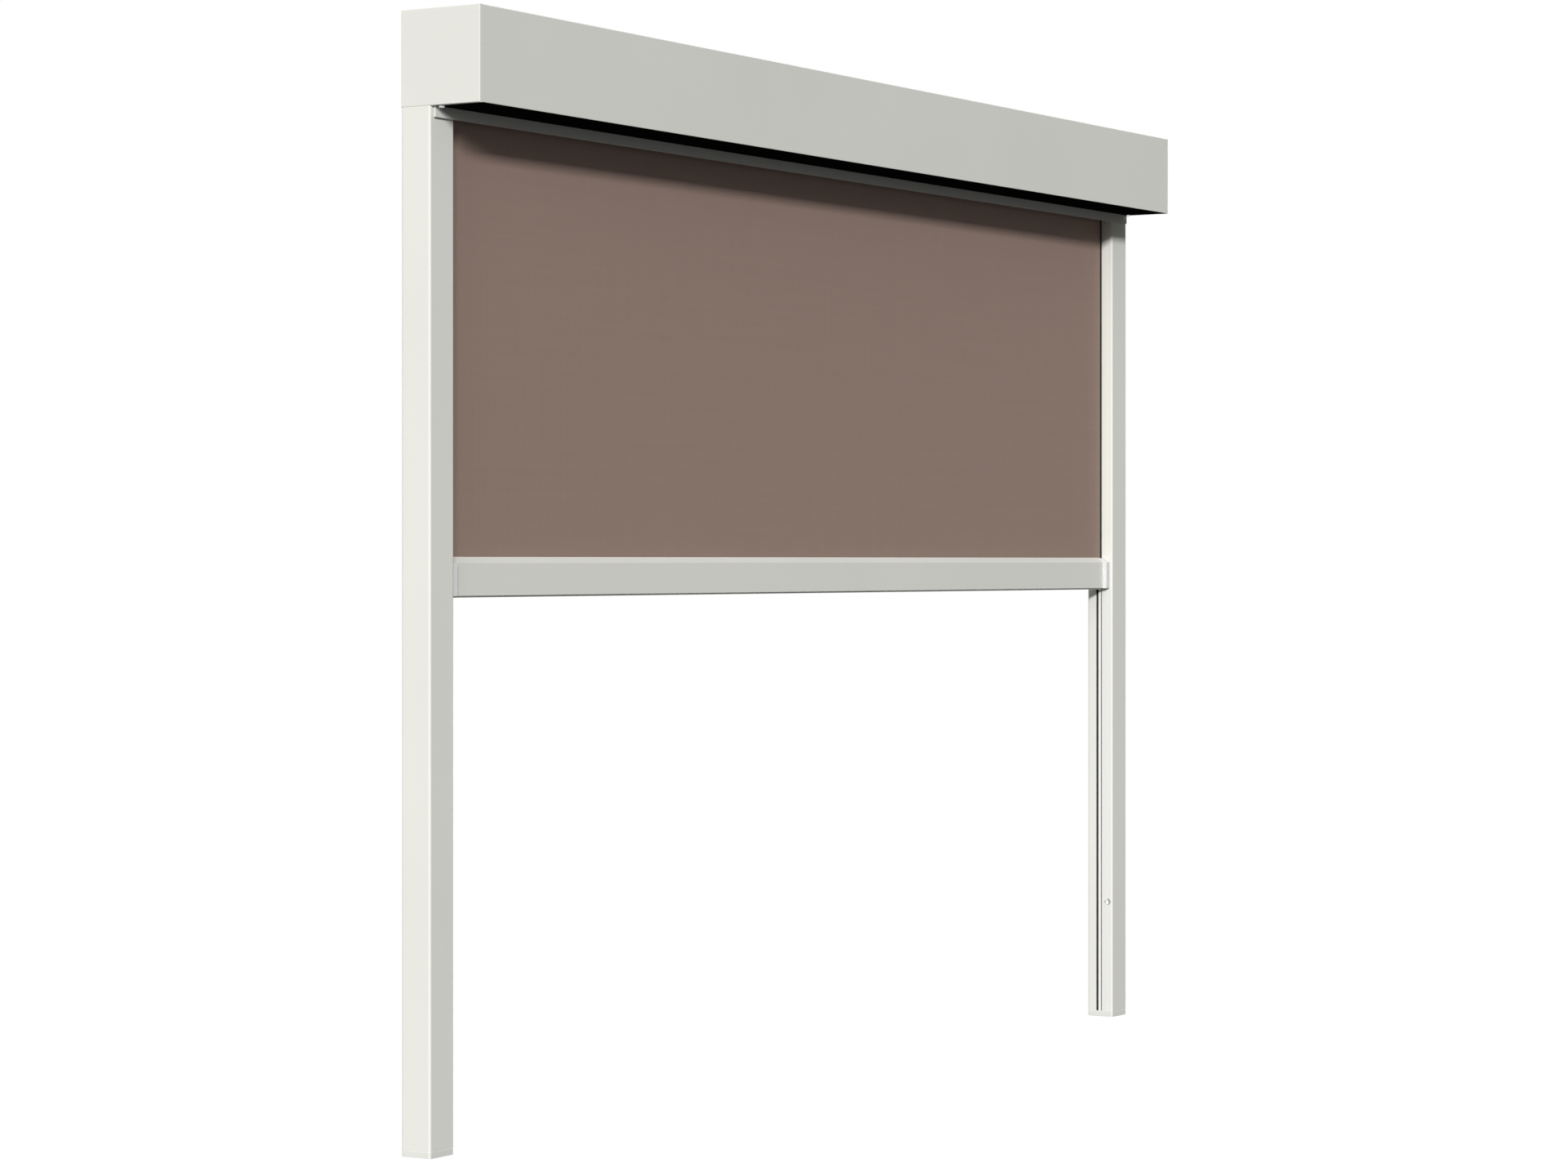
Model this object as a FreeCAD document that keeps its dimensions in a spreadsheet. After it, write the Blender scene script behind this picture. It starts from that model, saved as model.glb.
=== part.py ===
"""Exterior roller blind with zip-guided cloth, a square box and two side guides.

Millimetres. X runs along the box, Y = 0 is the wall plane with the front at -Y, and Z = 0 is
the height of the roller's axis, halfway up the box. The cloth is a little under half way down.
"""
import FreeCAD
import Part
import Sketcher
import os

V = FreeCAD.Vector
doc = FreeCAD.newDocument("exterior_roller_blind")


# Driving dimensions

SIZES = [
    # whole blind
    ("overall_width", 1566.0),
    ("guide_length", 1080.0),
    ("bar_drop", 462.5),            # underside of the box to the top of the bottom bar
    # box
    ("box_depth", 100.0),
    ("box_height", 100.0),
    ("box_wall", 2.0),
    ("box_edge_round", 1.0),
    ("lip_reach", 40.2),            # wall plane to the front of the turned-down lip
    ("lip_drop", 11.3),
    ("top_return", 6.0),            # strip of the front cover that lies in the top face
    ("seam_gap", 0.3),
    ("hook_wall", 1.6),
    ("hook_drop", 3.5),
    ("hook_setback", 3.0),
    ("rear_flange", 8.0),
    ("port_half", 4.4),
    ("port_bore", 1.8),
    ("port_inset", 4.1),            # inner face of a wall to the middle of a screw port
    ("port_gap", 2.8),              # hook of the front cover to the front screw port
    # box ends
    ("end_cover_thickness", 5.0),
    ("end_cover_skin", 1.5),
    ("end_cover_rim", 2.0),
    ("end_cover_round", 1.0),
    ("plate_thickness", 1.5),
    ("plate_gap", 0.2),
    ("peg_side", 4.0),
    ("peg_gap", 0.1),
    ("peg_spread", 64.0),
    ("neck_top", 38.0),             # roller axis down to the top of the neck
    ("spigot_length", 50.0),
    ("spigot_wall", 2.5),
    ("lug_length", 13.0),
    ("lug_depth", 9.0),
    ("lug_height", 8.0),
    # side guides
    ("guide_width", 41.5),
    ("guide_depth", 37.0),
    ("guide_wall", 1.8),
    ("guide_web", 1.5),
    ("guide_round", 2.5),
    ("fabric_setback", 20.55),      # wall plane to the middle of the cloth
    ("runner_setback", 14.55),      # wall plane to the middle of the runner slot
    ("groove_gap", 1.5),
    ("slot_gap", 3.7),
    ("channel_front_reach", 4.95),
    ("channel_back_reach", 4.55),
    ("channel_depth", 18.2),
    ("mark_setback", 30.3),         # wall plane to the drilling mark on the inner face
    ("mark_depth", 0.5),
    ("fixing_height", 154.9),       # foot of the guide to the side fixing
    ("access_radius", 4.0),
    ("plug_cap_radius", 4.4),
    ("plug_cap_height", 0.5),
    ("plug_stem_length", 4.0),
    ("plug_dish_radius", 3.1),
    ("plug_dish_depth", 2.5),
    ("foot_height", 7.5),
    ("foot_chamfer", 0.6),
    ("foot_peg_length", 16.0),
    # zip insert and inlet
    ("insert_gap", 0.3),
    ("insert_wall", 1.2),
    ("zip_cavity_width", 6.0),
    ("zip_cavity_depth", 9.7),
    ("slot_depth", 15.0),
    ("inlet_height", 12.0),
    ("inlet_front", 36.0),
    ("inlet_flare", 3.2),
    ("inlet_peg_length", 12.0),
    # roller, cloth and motor
    ("tube_diameter", 50.0),
    ("tube_wall", 1.5),
    ("tube_end_gap", 26.0),         # end of the tube to the end of the box profiles
    ("fabric_thickness", 0.6),
    ("wound_length", 820.0),
    ("roll_gap", 0.3),
    ("zip_width", 6.0),
    ("zip_thickness", 3.0),
    ("zip_end_gap", 0.3),
    ("end_flange", 3.0),
    ("cap_length", 30.0),
    ("cap_wall", 2.0),
    ("rib_width", 5.0),
    ("crown_length", 17.0),
    ("pin_radius", 6.0),
    ("pin_length", 48.0),
    ("bearing_side", 26.0),
    ("bearing_length", 8.0),
    ("cup_wall", 3.0),
    ("running_gap", 0.05),
    ("motor_radius", 22.5),
    ("motor_wall", 5.0),
    ("motor_length", 473.0),
    ("motor_head_radius", 24.5),
    ("motor_head_gap", 0.5),
    ("stub_side", 16.0),
    ("shaft_radius", 6.0),
    ("shaft_length", 42.0),
    ("shaft_insertion", 10.0),
    ("wheel_length", 24.0),
    ("wheel_hub", 3.0),
    ("wheel_gap", 4.0),             # end of the motor to the drive wheel
    ("bracket_side", 60.0),
    ("bracket_thickness", 3.5),
    ("bracket_screw_spread", 44.0),
    # bottom bar
    ("bar_front_reach", 8.05),
    ("bar_depth", 18.0),
    ("bar_height", 41.0),
    ("bar_wall", 1.6),
    ("bar_chamfer", 6.5),
    ("bar_edge_round", 0.8),
    ("bar_end_gap", 2.6),           # end of the bar's end cap to the guide
    ("keder_radius", 2.5),
    ("keder_gap", 0.2),
    ("keder_drop", 5.5),
    ("keder_slot", 1.6),
    ("seal_slot", 6.0),
    ("seal_head", 9.0),
    ("seal_head_height", 2.4),
    ("seal_width", 14.0),
    ("seal_drop", 1.5),
    ("seal_gap", 0.3),
    ("ballast_depth", 12.0),
    ("ballast_height", 20.0),
    ("ballast_gap", 0.3),
    ("bar_cap_thickness", 7.4),
    ("bar_cap_reach", 5.3),         # how far the end cap stands in front of the bar
    ("bar_cap_slope", 6.0),
    ("bar_cap_round", 0.8),
    ("bar_cap_chamfer", 2.0),
    ("bar_cap_plug", 16.0),
    ("runner_gap", 0.3),
    ("runner_end_gap", 1.5),
    ("runner_drop", 8.5),
    ("runner_height", 26.0),
    # screws and the cable entry
    ("screw_head_radius", 3.5),
    ("screw_head_height", 2.0),
    ("hex_head_radius", 3.2),
    ("hex_head_height", 1.6),
    ("screw_shank_radius", 1.7),
    ("screw_hole_gap", 0.3),
    ("cover_screw_inset", 10.0),
    ("cover_screw_gap", 3.8),       # front of the lip to the screws in front of it
    ("cover_screw_length", 8.0),
    ("port_screw_length", 14.0),
    ("wall_hole_radius", 3.25),
    ("wall_hole_spacing", 1200.0),
    ("wall_hole_height", 36.0),
    ("cable_hole_radius", 6.0),
    ("cable_bore_radius", 3.5),
    ("cable_flange_radius", 8.5),
    ("cable_flange_height", 2.5),
    ("cable_inset", 66.0),
    ("cable_drop", 20.0),
]

# Places and fits worked out from the driving dimensions

PLACES = [
    ("half_width", "dims.overall_width / 2"),
    ("half_box", "dims.box_height / 2"),
    ("profile_end", "half_width - dims.end_cover_thickness"),
    ("plate_outer", "profile_end + dims.plate_thickness"),
    ("skin_face", "half_width - dims.end_cover_skin"),
    ("inner_top", "half_box - dims.box_wall"),
    ("lip_front", "-dims.lip_reach"),
    ("lip_back", "lip_front + dims.box_wall"),
    ("cover_screw_x", "half_width - dims.cover_screw_inset"),
    ("cover_screw_y", "lip_front - dims.cover_screw_gap"),
    ("seam_front", "-(dims.box_depth - dims.top_return)"),
    ("seam_back", "seam_front + dims.seam_gap"),
    ("rib_front", "seam_back + dims.hook_setback"),
    ("rib_back", "rib_front + dims.hook_wall"),
    ("rib_foot", "inner_top - dims.hook_drop"),
    ("hook_front", "rib_back + dims.seam_gap"),
    ("hook_back", "hook_front + dims.hook_wall"),
    ("hook_top", "rib_foot - dims.seam_gap"),
    ("port_height", "inner_top - dims.port_inset"),
    ("port_rear", "-(dims.box_wall + dims.port_inset)"),
    ("port_front", "hook_back + dims.port_gap + dims.port_half"),
    ("neck_back", "port_rear - dims.port_half - dims.insert_gap"),
    ("guide_bottom", "-half_box - dims.guide_length"),
    ("rail_bottom", "guide_bottom + dims.foot_height"),
    ("guide_inner", "half_width - dims.guide_width"),
    ("cell_inner", "guide_inner + dims.guide_wall"),
    ("channel_end", "cell_inner + dims.channel_depth"),
    ("outer_cell", "channel_end + dims.guide_web"),
    ("cell_outer", "half_width - dims.guide_wall"),
    ("cell_front", "-(dims.guide_depth - dims.guide_wall)"),
    ("neck_front", "cell_front + dims.insert_gap"),
    ("groove_front", "-dims.fabric_setback - dims.groove_gap / 2"),
    ("groove_back", "-dims.fabric_setback + dims.groove_gap / 2"),
    ("slot_front", "-dims.runner_setback - dims.slot_gap / 2"),
    ("slot_back", "-dims.runner_setback + dims.slot_gap / 2"),
    ("channel_front", "-dims.fabric_setback - dims.channel_front_reach"),
    ("channel_back", "-dims.runner_setback + dims.channel_back_reach"),
    ("fixing_z", "guide_bottom + dims.fixing_height"),
    ("insert_front", "channel_front + dims.insert_gap"),
    ("insert_back", "channel_back - dims.insert_gap"),
    ("insert_face", "cell_inner + dims.insert_gap"),
    ("insert_end", "channel_end - dims.insert_gap"),
    ("zip_face", "insert_face + dims.insert_wall"),
    ("zip_end", "zip_face + dims.zip_cavity_depth"),
    ("zip_front", "-dims.fabric_setback - dims.zip_cavity_width / 2"),
    ("zip_back", "-dims.fabric_setback + dims.zip_cavity_width / 2"),
    ("slot_end", "guide_inner + dims.slot_depth"),
    ("fabric_edge", "zip_face + dims.zip_end_gap"),
    ("zip_edge", "fabric_edge + dims.zip_width"),
    ("tube_radius", "dims.tube_diameter / 2"),
    ("tube_bore", "tube_radius - dims.tube_wall"),
    ("roll_radius", "sqrt(tube_radius^2 + dims.wound_length * dims.fabric_thickness / pi)"),
    ("fabric_front", "-dims.fabric_setback - dims.fabric_thickness / 2"),
    ("axis_y", "fabric_front - dims.roll_gap - roll_radius"),
    ("zip_roll_radius", "-axis_y - dims.fabric_setback - dims.zip_thickness / 2 - dims.roll_gap"),
    ("rib_reach", "sqrt((tube_bore - dims.running_gap)^2 - (dims.rib_width / 2)^2)"),
    ("tube_end", "profile_end - dims.tube_end_gap"),
    ("bracket_face", "profile_end - dims.bracket_thickness"),
    ("head_start", "tube_end + dims.end_flange + dims.motor_head_gap"),
    ("bar_front", "-dims.fabric_setback - dims.bar_front_reach"),
    ("bar_back", "bar_front + dims.bar_depth"),
    ("bar_top", "-half_box - dims.bar_drop"),
    ("bar_bottom", "bar_top - dims.bar_height"),
    ("bar_end", "guide_inner - dims.bar_end_gap - dims.bar_cap_thickness"),
    ("bar_cap_face", "guide_inner - dims.bar_end_gap"),
    ("keder_z", "bar_top - dims.keder_drop"),
    ("keder_wall", "dims.keder_radius + dims.keder_gap + dims.bar_wall"),
    ("web_z", "keder_z - keder_wall - dims.bar_wall"),
    ("seal_y", "(bar_front + bar_back) / 2"),
    ("seal_roof", "bar_bottom + dims.bar_wall + dims.seal_head_height"),
    ("chamber_floor", "seal_roof + dims.bar_wall"),
    ("chamber_front", "bar_front + dims.bar_wall"),
    ("chamber_back", "bar_back - dims.bar_wall"),
    ("slope_inset", "(sqrt(2) - 1) * dims.bar_wall + dims.bar_wall"),
    ("runner_top", "bar_top - dims.runner_drop"),
]


def add_sheet(name, rows, formula):
    """A spreadsheet with one named cell for each row."""
    sheet = doc.addObject("Spreadsheet::Sheet", name)
    for number, (alias, content) in enumerate(rows, start=1):
        cell = "A%d" % number
        sheet.set(cell, "=" + content if formula else str(content))
        sheet.setAlias(cell, alias)
    doc.recompute()
    return sheet


dims = add_sheet("dims", SIZES, False)
at = add_sheet("at", PLACES, True)


# Helpers that draw bound sketches and build features from them

def origin_plane(body, role):
    """One of a body's own origin planes."""
    for feature in body.Origin.OriginFeatures:
        if feature.Role == role:
            return feature
    raise RuntimeError("no plane " + role)


def pin_point(sketch, geometry, point, x, y):
    """Ties one point of a sketch to two expressions, measured from the sketch's origin."""
    for kind, axis, expression in (("DistanceX", -2, x), ("DistanceY", -1, y)):
        value = sketch.evalExpression(expression)
        if abs(value) < 1e-9:
            sketch.addConstraint(Sketcher.Constraint("PointOnObject", geometry, point, axis))
        else:
            number = sketch.addConstraint(
                Sketcher.Constraint(kind, -1, 1, geometry, point, float(value)))
            sketch.setExpression("Constraints[%d]" % number, expression)


def add_outline(sketch, corners):
    """A closed outline of straight edges through corners that are pairs of expressions."""
    places = [V(sketch.evalExpression(x), sketch.evalExpression(y), 0) for x, y in corners]
    first = sketch.GeometryCount
    count = len(corners)
    for number in range(count):
        sketch.addGeometry(Part.LineSegment(places[number], places[(number + 1) % count]))
    for number in range(count):
        after = first + (number + 1) % count
        sketch.addConstraint(Sketcher.Constraint("Coincident", first + number, 2, after, 1))
    for number, (x, y) in enumerate(corners):
        pin_point(sketch, first + number, 1, x, y)


def add_circle(sketch, x, y, radius):
    """A circle whose middle and radius are expressions."""
    middle = V(sketch.evalExpression(x), sketch.evalExpression(y), 0)
    size = float(sketch.evalExpression(radius))
    number = sketch.addGeometry(Part.Circle(middle, V(0, 0, 1), size))
    pin_point(sketch, number, 3, x, y)
    radius_number = sketch.addConstraint(Sketcher.Constraint("Radius", number, size))
    sketch.setExpression("Constraints[%d]" % radius_number, radius)


def rectangle(x_low, x_high, y_low, y_high):
    """The four corners of a rectangle."""
    return [(x_low, y_low), (x_high, y_low), (x_high, y_high), (x_low, y_high)]


def draw(body, plane, outlines=(), circles=(), offset=None):
    """A sketch on one of the body's origin planes, moved along its normal by offset."""
    sketch = body.newObject("Sketcher::SketchObject", "Sketch")
    sketch.AttachmentSupport = [(origin_plane(body, plane), "")]
    sketch.MapMode = "FlatFace"
    if offset is not None:
        sketch.setExpression("AttachmentOffset.Base.z", offset)
    for corners in outlines:
        add_outline(sketch, corners)
    for x, y, radius in circles:
        add_circle(sketch, x, y, radius)
    doc.recompute()
    return sketch


def pad(body, sketch, length, forward=True, both=False):
    """Material from a sketch, along its normal, against it, or half to each side."""
    feature = body.newObject("PartDesign::Pad", "Pad")
    feature.Profile = sketch
    feature.setExpression("Length", length)
    feature.Reversed = not forward
    feature.Midplane = both
    doc.recompute()
    return feature


def pocket(body, sketch, length, forward=True, both=False):
    """A cut from a sketch, along its normal, against it, or half to each side."""
    before = body.Shape.Volume
    feature = body.newObject("PartDesign::Pocket", "Pocket")
    feature.Profile = sketch
    feature.setExpression("Length", length)
    feature.Reversed = forward
    feature.Midplane = both
    doc.recompute()
    if not body.Shape.Volume < before - 1e-6:
        raise RuntimeError("a pocket in %s cuts nothing" % body.Label)
    return feature


def round_edges(body, radius, wanted):
    """A fillet on each edge of the body that the test picks."""
    tip = body.Tip
    names = ["Edge%d" % number for number, edge in enumerate(tip.Shape.Edges, start=1)
             if wanted(edge)]
    feature = body.newObject("PartDesign::Fillet", "Fillet")
    feature.Base = (tip, names)
    feature.setExpression("Radius", radius)
    doc.recompute()
    return feature


def chamfer_edges(body, size, wanted):
    """An even chamfer on each edge of the body that the test picks."""
    tip = body.Tip
    names = ["Edge%d" % number for number, edge in enumerate(tip.Shape.Edges, start=1)
             if wanted(edge)]
    feature = body.newObject("PartDesign::Chamfer", "Chamfer")
    feature.Base = (tip, names)
    feature.setExpression("Size", size)
    doc.recompute()
    return feature


def runs_along(edge, axis):
    """True for a straight edge parallel to the named axis."""
    if edge.Curve.TypeId != "Part::GeomLine":
        return False
    return abs(getattr(edge.Curve.Direction, axis)) > 0.999


def passes(edge, **places):
    """True where the middle of an edge has the given coordinates."""
    middle = edge.valueAt((edge.FirstParameter + edge.LastParameter) / 2)
    return all(abs(getattr(middle, axis) - place) < 0.01 for axis, place in places.items())


def slopes(edge):
    """True for a straight edge that runs neither level nor upright."""
    return edge.Curve.TypeId == "Part::GeomLine" and 0.05 < abs(edge.Curve.Direction.z) < 0.95


def new_body(label):
    body = doc.addObject("PartDesign::Body", label)
    body.Label = label
    return body


def put(thing, x="0", y="0", z="0", direction=(0, 0, 1)):
    """Places a body by expressions, with its own Z axis along the direction."""
    turn = FreeCAD.Rotation(V(0, 0, 1), V(*direction))
    thing.Placement = FreeCAD.Placement(V(), turn)
    for axis, expression in (("x", x), ("y", y), ("z", z)):
        thing.setExpression(".Placement.Base." + axis, expression)


def turned(label, corners, x="0", y="0", z="0", direction=(0, 0, 1)):
    """A turned piece: corners are (radius, distance along the axis)."""
    body = new_body(label)
    sketch = draw(body, "XZ_Plane", [corners])
    feature = body.newObject("PartDesign::Revolution", "Revolution")
    feature.Profile = sketch
    feature.ReferenceAxis = (sketch, ["V_Axis"])
    feature.Angle = 360.0
    doc.recompute()
    put(body, x, y, z, direction)
    return body


def ring(label, inner, outer, start, end, **place):
    """A plain turned ring or, with an inner radius of 0, a rod."""
    return turned(label, rectangle(inner, outer, start, end), **place)


def group(label, members):
    """Several equal pieces kept together under one name."""
    compound = doc.addObject("Part::Compound", label)
    compound.Label = label
    compound.Links = members
    return compound


def mirrored(side, expression):
    """An X place on the right as it is, and on the left with its sign changed."""
    return expression if side > 0 else "-(%s)" % expression


def on_side(side, corners):
    """Corners in X and Y moved to the wanted side of the blind."""
    return [(mirrored(side, x), y) for x, y in corners]


SIDES = (("left", -1), ("right", 1))
nodes = []


# Box: rear profile, front cover

def port(body, y, z):
    """A square screw port along the whole profile."""
    low, high = " - dims.port_half", " + dims.port_half"
    boss = draw(body, "YZ_Plane", [rectangle(y + low, y + high, z + low, z + high)])
    pad(body, boss, "2 * at.profile_end", both=True)


def bores(body, places):
    """The bores of the screw ports, cut through the whole profile."""
    holes = draw(body, "YZ_Plane", circles=[(y, z, "dims.port_bore") for y, z in places])
    pocket(body, holes, "2 * at.profile_end", both=True)


PORTS = [
    ("at.port_rear", "at.port_height"),
    ("at.port_rear", "-at.port_height"),
    ("at.port_front", "at.port_height"),
]


def box_rear_profile():
    body = new_body("box_rear_profile")
    walls = [
        ("0", "-at.half_box"),
        ("0", "at.half_box"),
        ("at.seam_back", "at.half_box"),
        ("at.seam_back", "at.inner_top"),
        ("at.rib_front", "at.inner_top"),
        ("at.rib_front", "at.rib_foot"),
        ("at.rib_back", "at.rib_foot"),
        ("at.rib_back", "at.inner_top"),
        ("-dims.box_wall", "at.inner_top"),
        ("-dims.box_wall", "-at.inner_top"),
        ("-dims.rear_flange", "-at.inner_top"),
        ("-dims.rear_flange", "-at.half_box"),
    ]
    pad(body, draw(body, "YZ_Plane", [walls]), "2 * at.profile_end", both=True)
    for y, z in PORTS:
        port(body, y, z)
    bores(body, PORTS)
    half_spacing = "dims.wall_hole_spacing / 2"
    wall_holes = [
        (half_spacing, "dims.wall_hole_height", "dims.wall_hole_radius"),
        ("-" + half_spacing, "dims.wall_hole_height", "dims.wall_hole_radius"),
        ("at.profile_end - dims.cable_inset", "-dims.cable_drop", "dims.cable_hole_radius"),
    ]
    pocket(body, draw(body, "XZ_Plane", circles=wall_holes), "dims.box_wall * 1.5")
    return body


def box_front_cover():
    body = new_body("box_front_cover")
    front = "-dims.box_depth"
    inner = "-dims.box_depth + dims.box_wall"
    walls = [
        (front, "-at.half_box"),
        ("at.lip_front", "-at.half_box"),
        ("at.lip_front", "-at.half_box - dims.lip_drop"),
        ("at.lip_back", "-at.half_box - dims.lip_drop"),
        ("at.lip_back", "-at.inner_top"),
        (inner, "-at.inner_top"),
        (inner, "at.hook_top - dims.hook_wall"),
        ("at.hook_back", "at.hook_top - dims.hook_wall"),
        ("at.hook_back", "at.inner_top - dims.seam_gap"),
        ("at.hook_front", "at.inner_top - dims.seam_gap"),
        ("at.hook_front", "at.hook_top"),
        (inner, "at.hook_top"),
        (inner, "at.inner_top"),
        ("at.seam_front", "at.inner_top"),
        ("at.seam_front", "at.half_box"),
        (front, "at.half_box"),
    ]
    pad(body, draw(body, "YZ_Plane", [walls]), "2 * at.profile_end", both=True)
    hole = "dims.screw_shank_radius + dims.screw_hole_gap"
    holes = [
        ("at.cover_screw_x", "at.cover_screw_y", hole),
        ("-at.cover_screw_x", "at.cover_screw_y", hole),
    ]
    under = draw(body, "XY_Plane", circles=holes, offset="-at.half_box")
    pocket(body, under, "dims.box_wall")
    front_y = -dims.box_depth
    round_edges(body, "dims.box_edge_round",
                lambda edge: runs_along(edge, "x") and passes(edge, y=front_y))
    return body


nodes.append(box_rear_profile())
nodes.append(box_front_cover())


# Box ends: cup-shaped covers over end plates that carry the roller and the guides

def inset_square(inset):
    """The box outline in Y and Z, drawn in by an inset on every side."""
    return rectangle("-dims.box_depth + (%s)" % inset, "-(%s)" % inset,
                     "-at.half_box + (%s)" % inset, "at.half_box - (%s)" % inset)


def pegs(gap):
    """Two square pegs above and below the middle of the box's depth, widened by a gap."""
    half = "(dims.peg_side / 2 + %s)" % gap
    middle = "-dims.box_depth / 2"
    return [rectangle("%s - %s" % (middle, half), "%s + %s" % (middle, half),
                      "%s - %s" % (height, half), "%s + %s" % (height, half))
            for height in ("dims.peg_spread / 2", "-dims.peg_spread / 2")]


def end_cover(name, side):
    body = new_body(name + "_end_cover")
    outward = side > 0
    shell = draw(body, "YZ_Plane", [inset_square("0")], offset=mirrored(side, "at.profile_end"))
    pad(body, shell, "dims.end_cover_thickness", forward=outward)
    cup = draw(body, "YZ_Plane", [inset_square("dims.end_cover_rim")],
               offset=mirrored(side, "at.profile_end"))
    pocket(body, cup, "at.skin_face - at.profile_end", forward=outward)
    pad(body, draw(body, "YZ_Plane", pegs("0"), offset=mirrored(side, "at.skin_face")),
        "at.skin_face - at.profile_end", forward=not outward)
    outer = side * at.half_width
    round_edges(body, "dims.end_cover_round",
                lambda edge: passes(edge, x=outer) and not passes(edge, y=0))
    return body


def bracket_screw_places():
    """The two screws at opposite corners of a bracket, as Y and Z expressions."""
    half = "dims.bracket_screw_spread / 2"
    return [("at.axis_y + " + half, half), ("at.axis_y - " + half, "-" + half)]


def end_plate(name, side):
    body = new_body(name + "_end_plate")
    outward = side > 0
    seat = mirrored(side, "at.profile_end")
    sheet_outline = inset_square("dims.end_cover_rim + dims.plate_gap")
    pad(body, draw(body, "YZ_Plane", [sheet_outline], offset=seat), "dims.plate_thickness",
        forward=outward)
    neck = rectangle("at.neck_front", "at.neck_back",
                     "-at.inner_top + dims.plate_gap", "-dims.neck_top")
    neck_length = "at.profile_end - at.outer_cell - dims.insert_gap"
    pad(body, draw(body, "YZ_Plane", [neck], offset=seat), neck_length, forward=not outward)
    stem = on_side(side, rectangle("at.outer_cell + dims.insert_gap",
                                   "at.profile_end - dims.plate_gap",
                                   "at.neck_front", "at.neck_back"))
    stem_top = "-dims.neck_top"
    stem_length = "at.half_box - dims.neck_top + dims.spigot_length"
    pad(body, draw(body, "XY_Plane", [stem], offset=stem_top), stem_length, forward=False)
    spigot = on_side(side, rectangle("at.outer_cell + dims.insert_gap",
                                     "at.cell_outer - dims.insert_gap",
                                     "at.neck_front",
                                     "-dims.guide_wall - dims.insert_gap"))
    spigot_top = "-at.half_box - dims.insert_gap"
    spigot_length = "dims.spigot_length - dims.insert_gap"
    pad(body, draw(body, "XY_Plane", [spigot], offset=spigot_top), spigot_length, forward=False)
    hollow = on_side(side, rectangle("at.outer_cell + dims.insert_gap + dims.spigot_wall",
                                     "at.cell_outer - dims.insert_gap - dims.spigot_wall",
                                     "at.neck_front + dims.spigot_wall",
                                     "-dims.guide_wall - dims.insert_gap - dims.spigot_wall"))
    spigot_foot = "-at.half_box - dims.spigot_length"
    pocket(body, draw(body, "XY_Plane", [hollow], offset=spigot_foot),
           "dims.spigot_length - dims.spigot_wall * 2")
    lug = rectangle("at.cover_screw_y - dims.lug_depth / 2",
                    "at.cover_screw_y + dims.lug_depth / 2",
                    "-at.inner_top", "-at.inner_top + dims.lug_height")
    pad(body, draw(body, "YZ_Plane", [lug], offset=seat), "dims.lug_length", forward=not outward)
    lug_hole = [(mirrored(side, "at.cover_screw_x"), "at.cover_screw_y",
                 "dims.screw_shank_radius")]
    pocket(body, draw(body, "XY_Plane", circles=lug_hole, offset="-at.inner_top"),
           "dims.lug_height")
    clearance = "dims.screw_shank_radius + dims.screw_hole_gap / 3"
    holes = [(y, z, clearance) for y, z in PORTS]
    holes += [(y, z, "dims.screw_shank_radius") for y, z in bracket_screw_places()]
    pocket(body, draw(body, "YZ_Plane", pegs("dims.peg_gap"), holes, offset=seat),
           "dims.plate_thickness", forward=outward)
    return body


for name, side in SIDES:
    nodes.append(end_cover(name, side))
    nodes.append(end_plate(name, side))


# Screws

def polygon(sides, radius):
    """A regular polygon about the sketch's origin, by the radius of its corners."""
    return [("%s * cos(%g)" % (radius, 360 * number / sides),
             "%s * sin(%g)" % (radius, 360 * number / sides)) for number in range(sides)]


def screw(label, head, head_height, length, **place):
    """A screw whose head bears at its own zero, on an eight-sided shank."""
    body = new_body(label)
    pad(body, draw(body, "XY_Plane", **head), head_height, forward=False)
    pad(body, draw(body, "XY_Plane", [polygon(8, "dims.screw_shank_radius")]), length)
    put(body, **place)
    return body


def cover_screws():
    """The two screws under the box, with round heads."""
    screws = []
    for name, side in SIDES:
        screws.append(screw(name + "_cover_screw",
                            {"circles": [("0", "0", "dims.screw_head_radius")]},
                            "dims.screw_head_height", "dims.cover_screw_length",
                            x=mirrored(side, "at.cover_screw_x"), y="at.cover_screw_y",
                            z="-at.half_box"))
    return group("cover_screws", screws)


def hex_screw(label, length, **place):
    """A screw with a hexagonal head."""
    return screw(label, {"outlines": [polygon(6, "dims.hex_head_radius")]},
                 "dims.hex_head_height", length, **place)


def end_plate_screws():
    screws = []
    for name, side in SIDES:
        for y, z in PORTS:
            screws.append(hex_screw(name + "_port_screw", "dims.port_screw_length",
                                    x=mirrored(side, "at.plate_outer"), y=y, z=z,
                                    direction=(-side, 0, 0)))
    return group("end_plate_screws", screws)


def bracket_screws():
    screws = []
    for name, side in SIDES:
        for y, z in bracket_screw_places():
            screws.append(hex_screw(name + "_bracket_screw",
                                    "dims.bracket_thickness + dims.plate_thickness",
                                    x=mirrored(side, "at.bracket_face"), y=y, z=z,
                                    direction=(side, 0, 0)))
    return group("bracket_screws", screws)


nodes.append(cover_screws())
nodes.append(end_plate_screws())
nodes.append(bracket_screws())


# Cable entry in the rear wall

def cable_grommet():
    """A bored bush in the wall's hole, with a six-sided flange inside the box."""
    body = new_body("cable_grommet")
    bore = [("0", "0", "dims.cable_bore_radius")]
    bush = [("0", "0", "dims.cable_hole_radius")]
    pad(body, draw(body, "XY_Plane", circles=bush + bore), "dims.box_wall")
    flange = [polygon(6, "dims.cable_flange_radius")]
    pad(body, draw(body, "XY_Plane", flange, bore, offset="dims.box_wall"),
        "dims.cable_flange_height")
    put(body, x="at.profile_end - dims.cable_inset", z="-dims.cable_drop",
        direction=(0, -1, 0))
    return body


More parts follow.
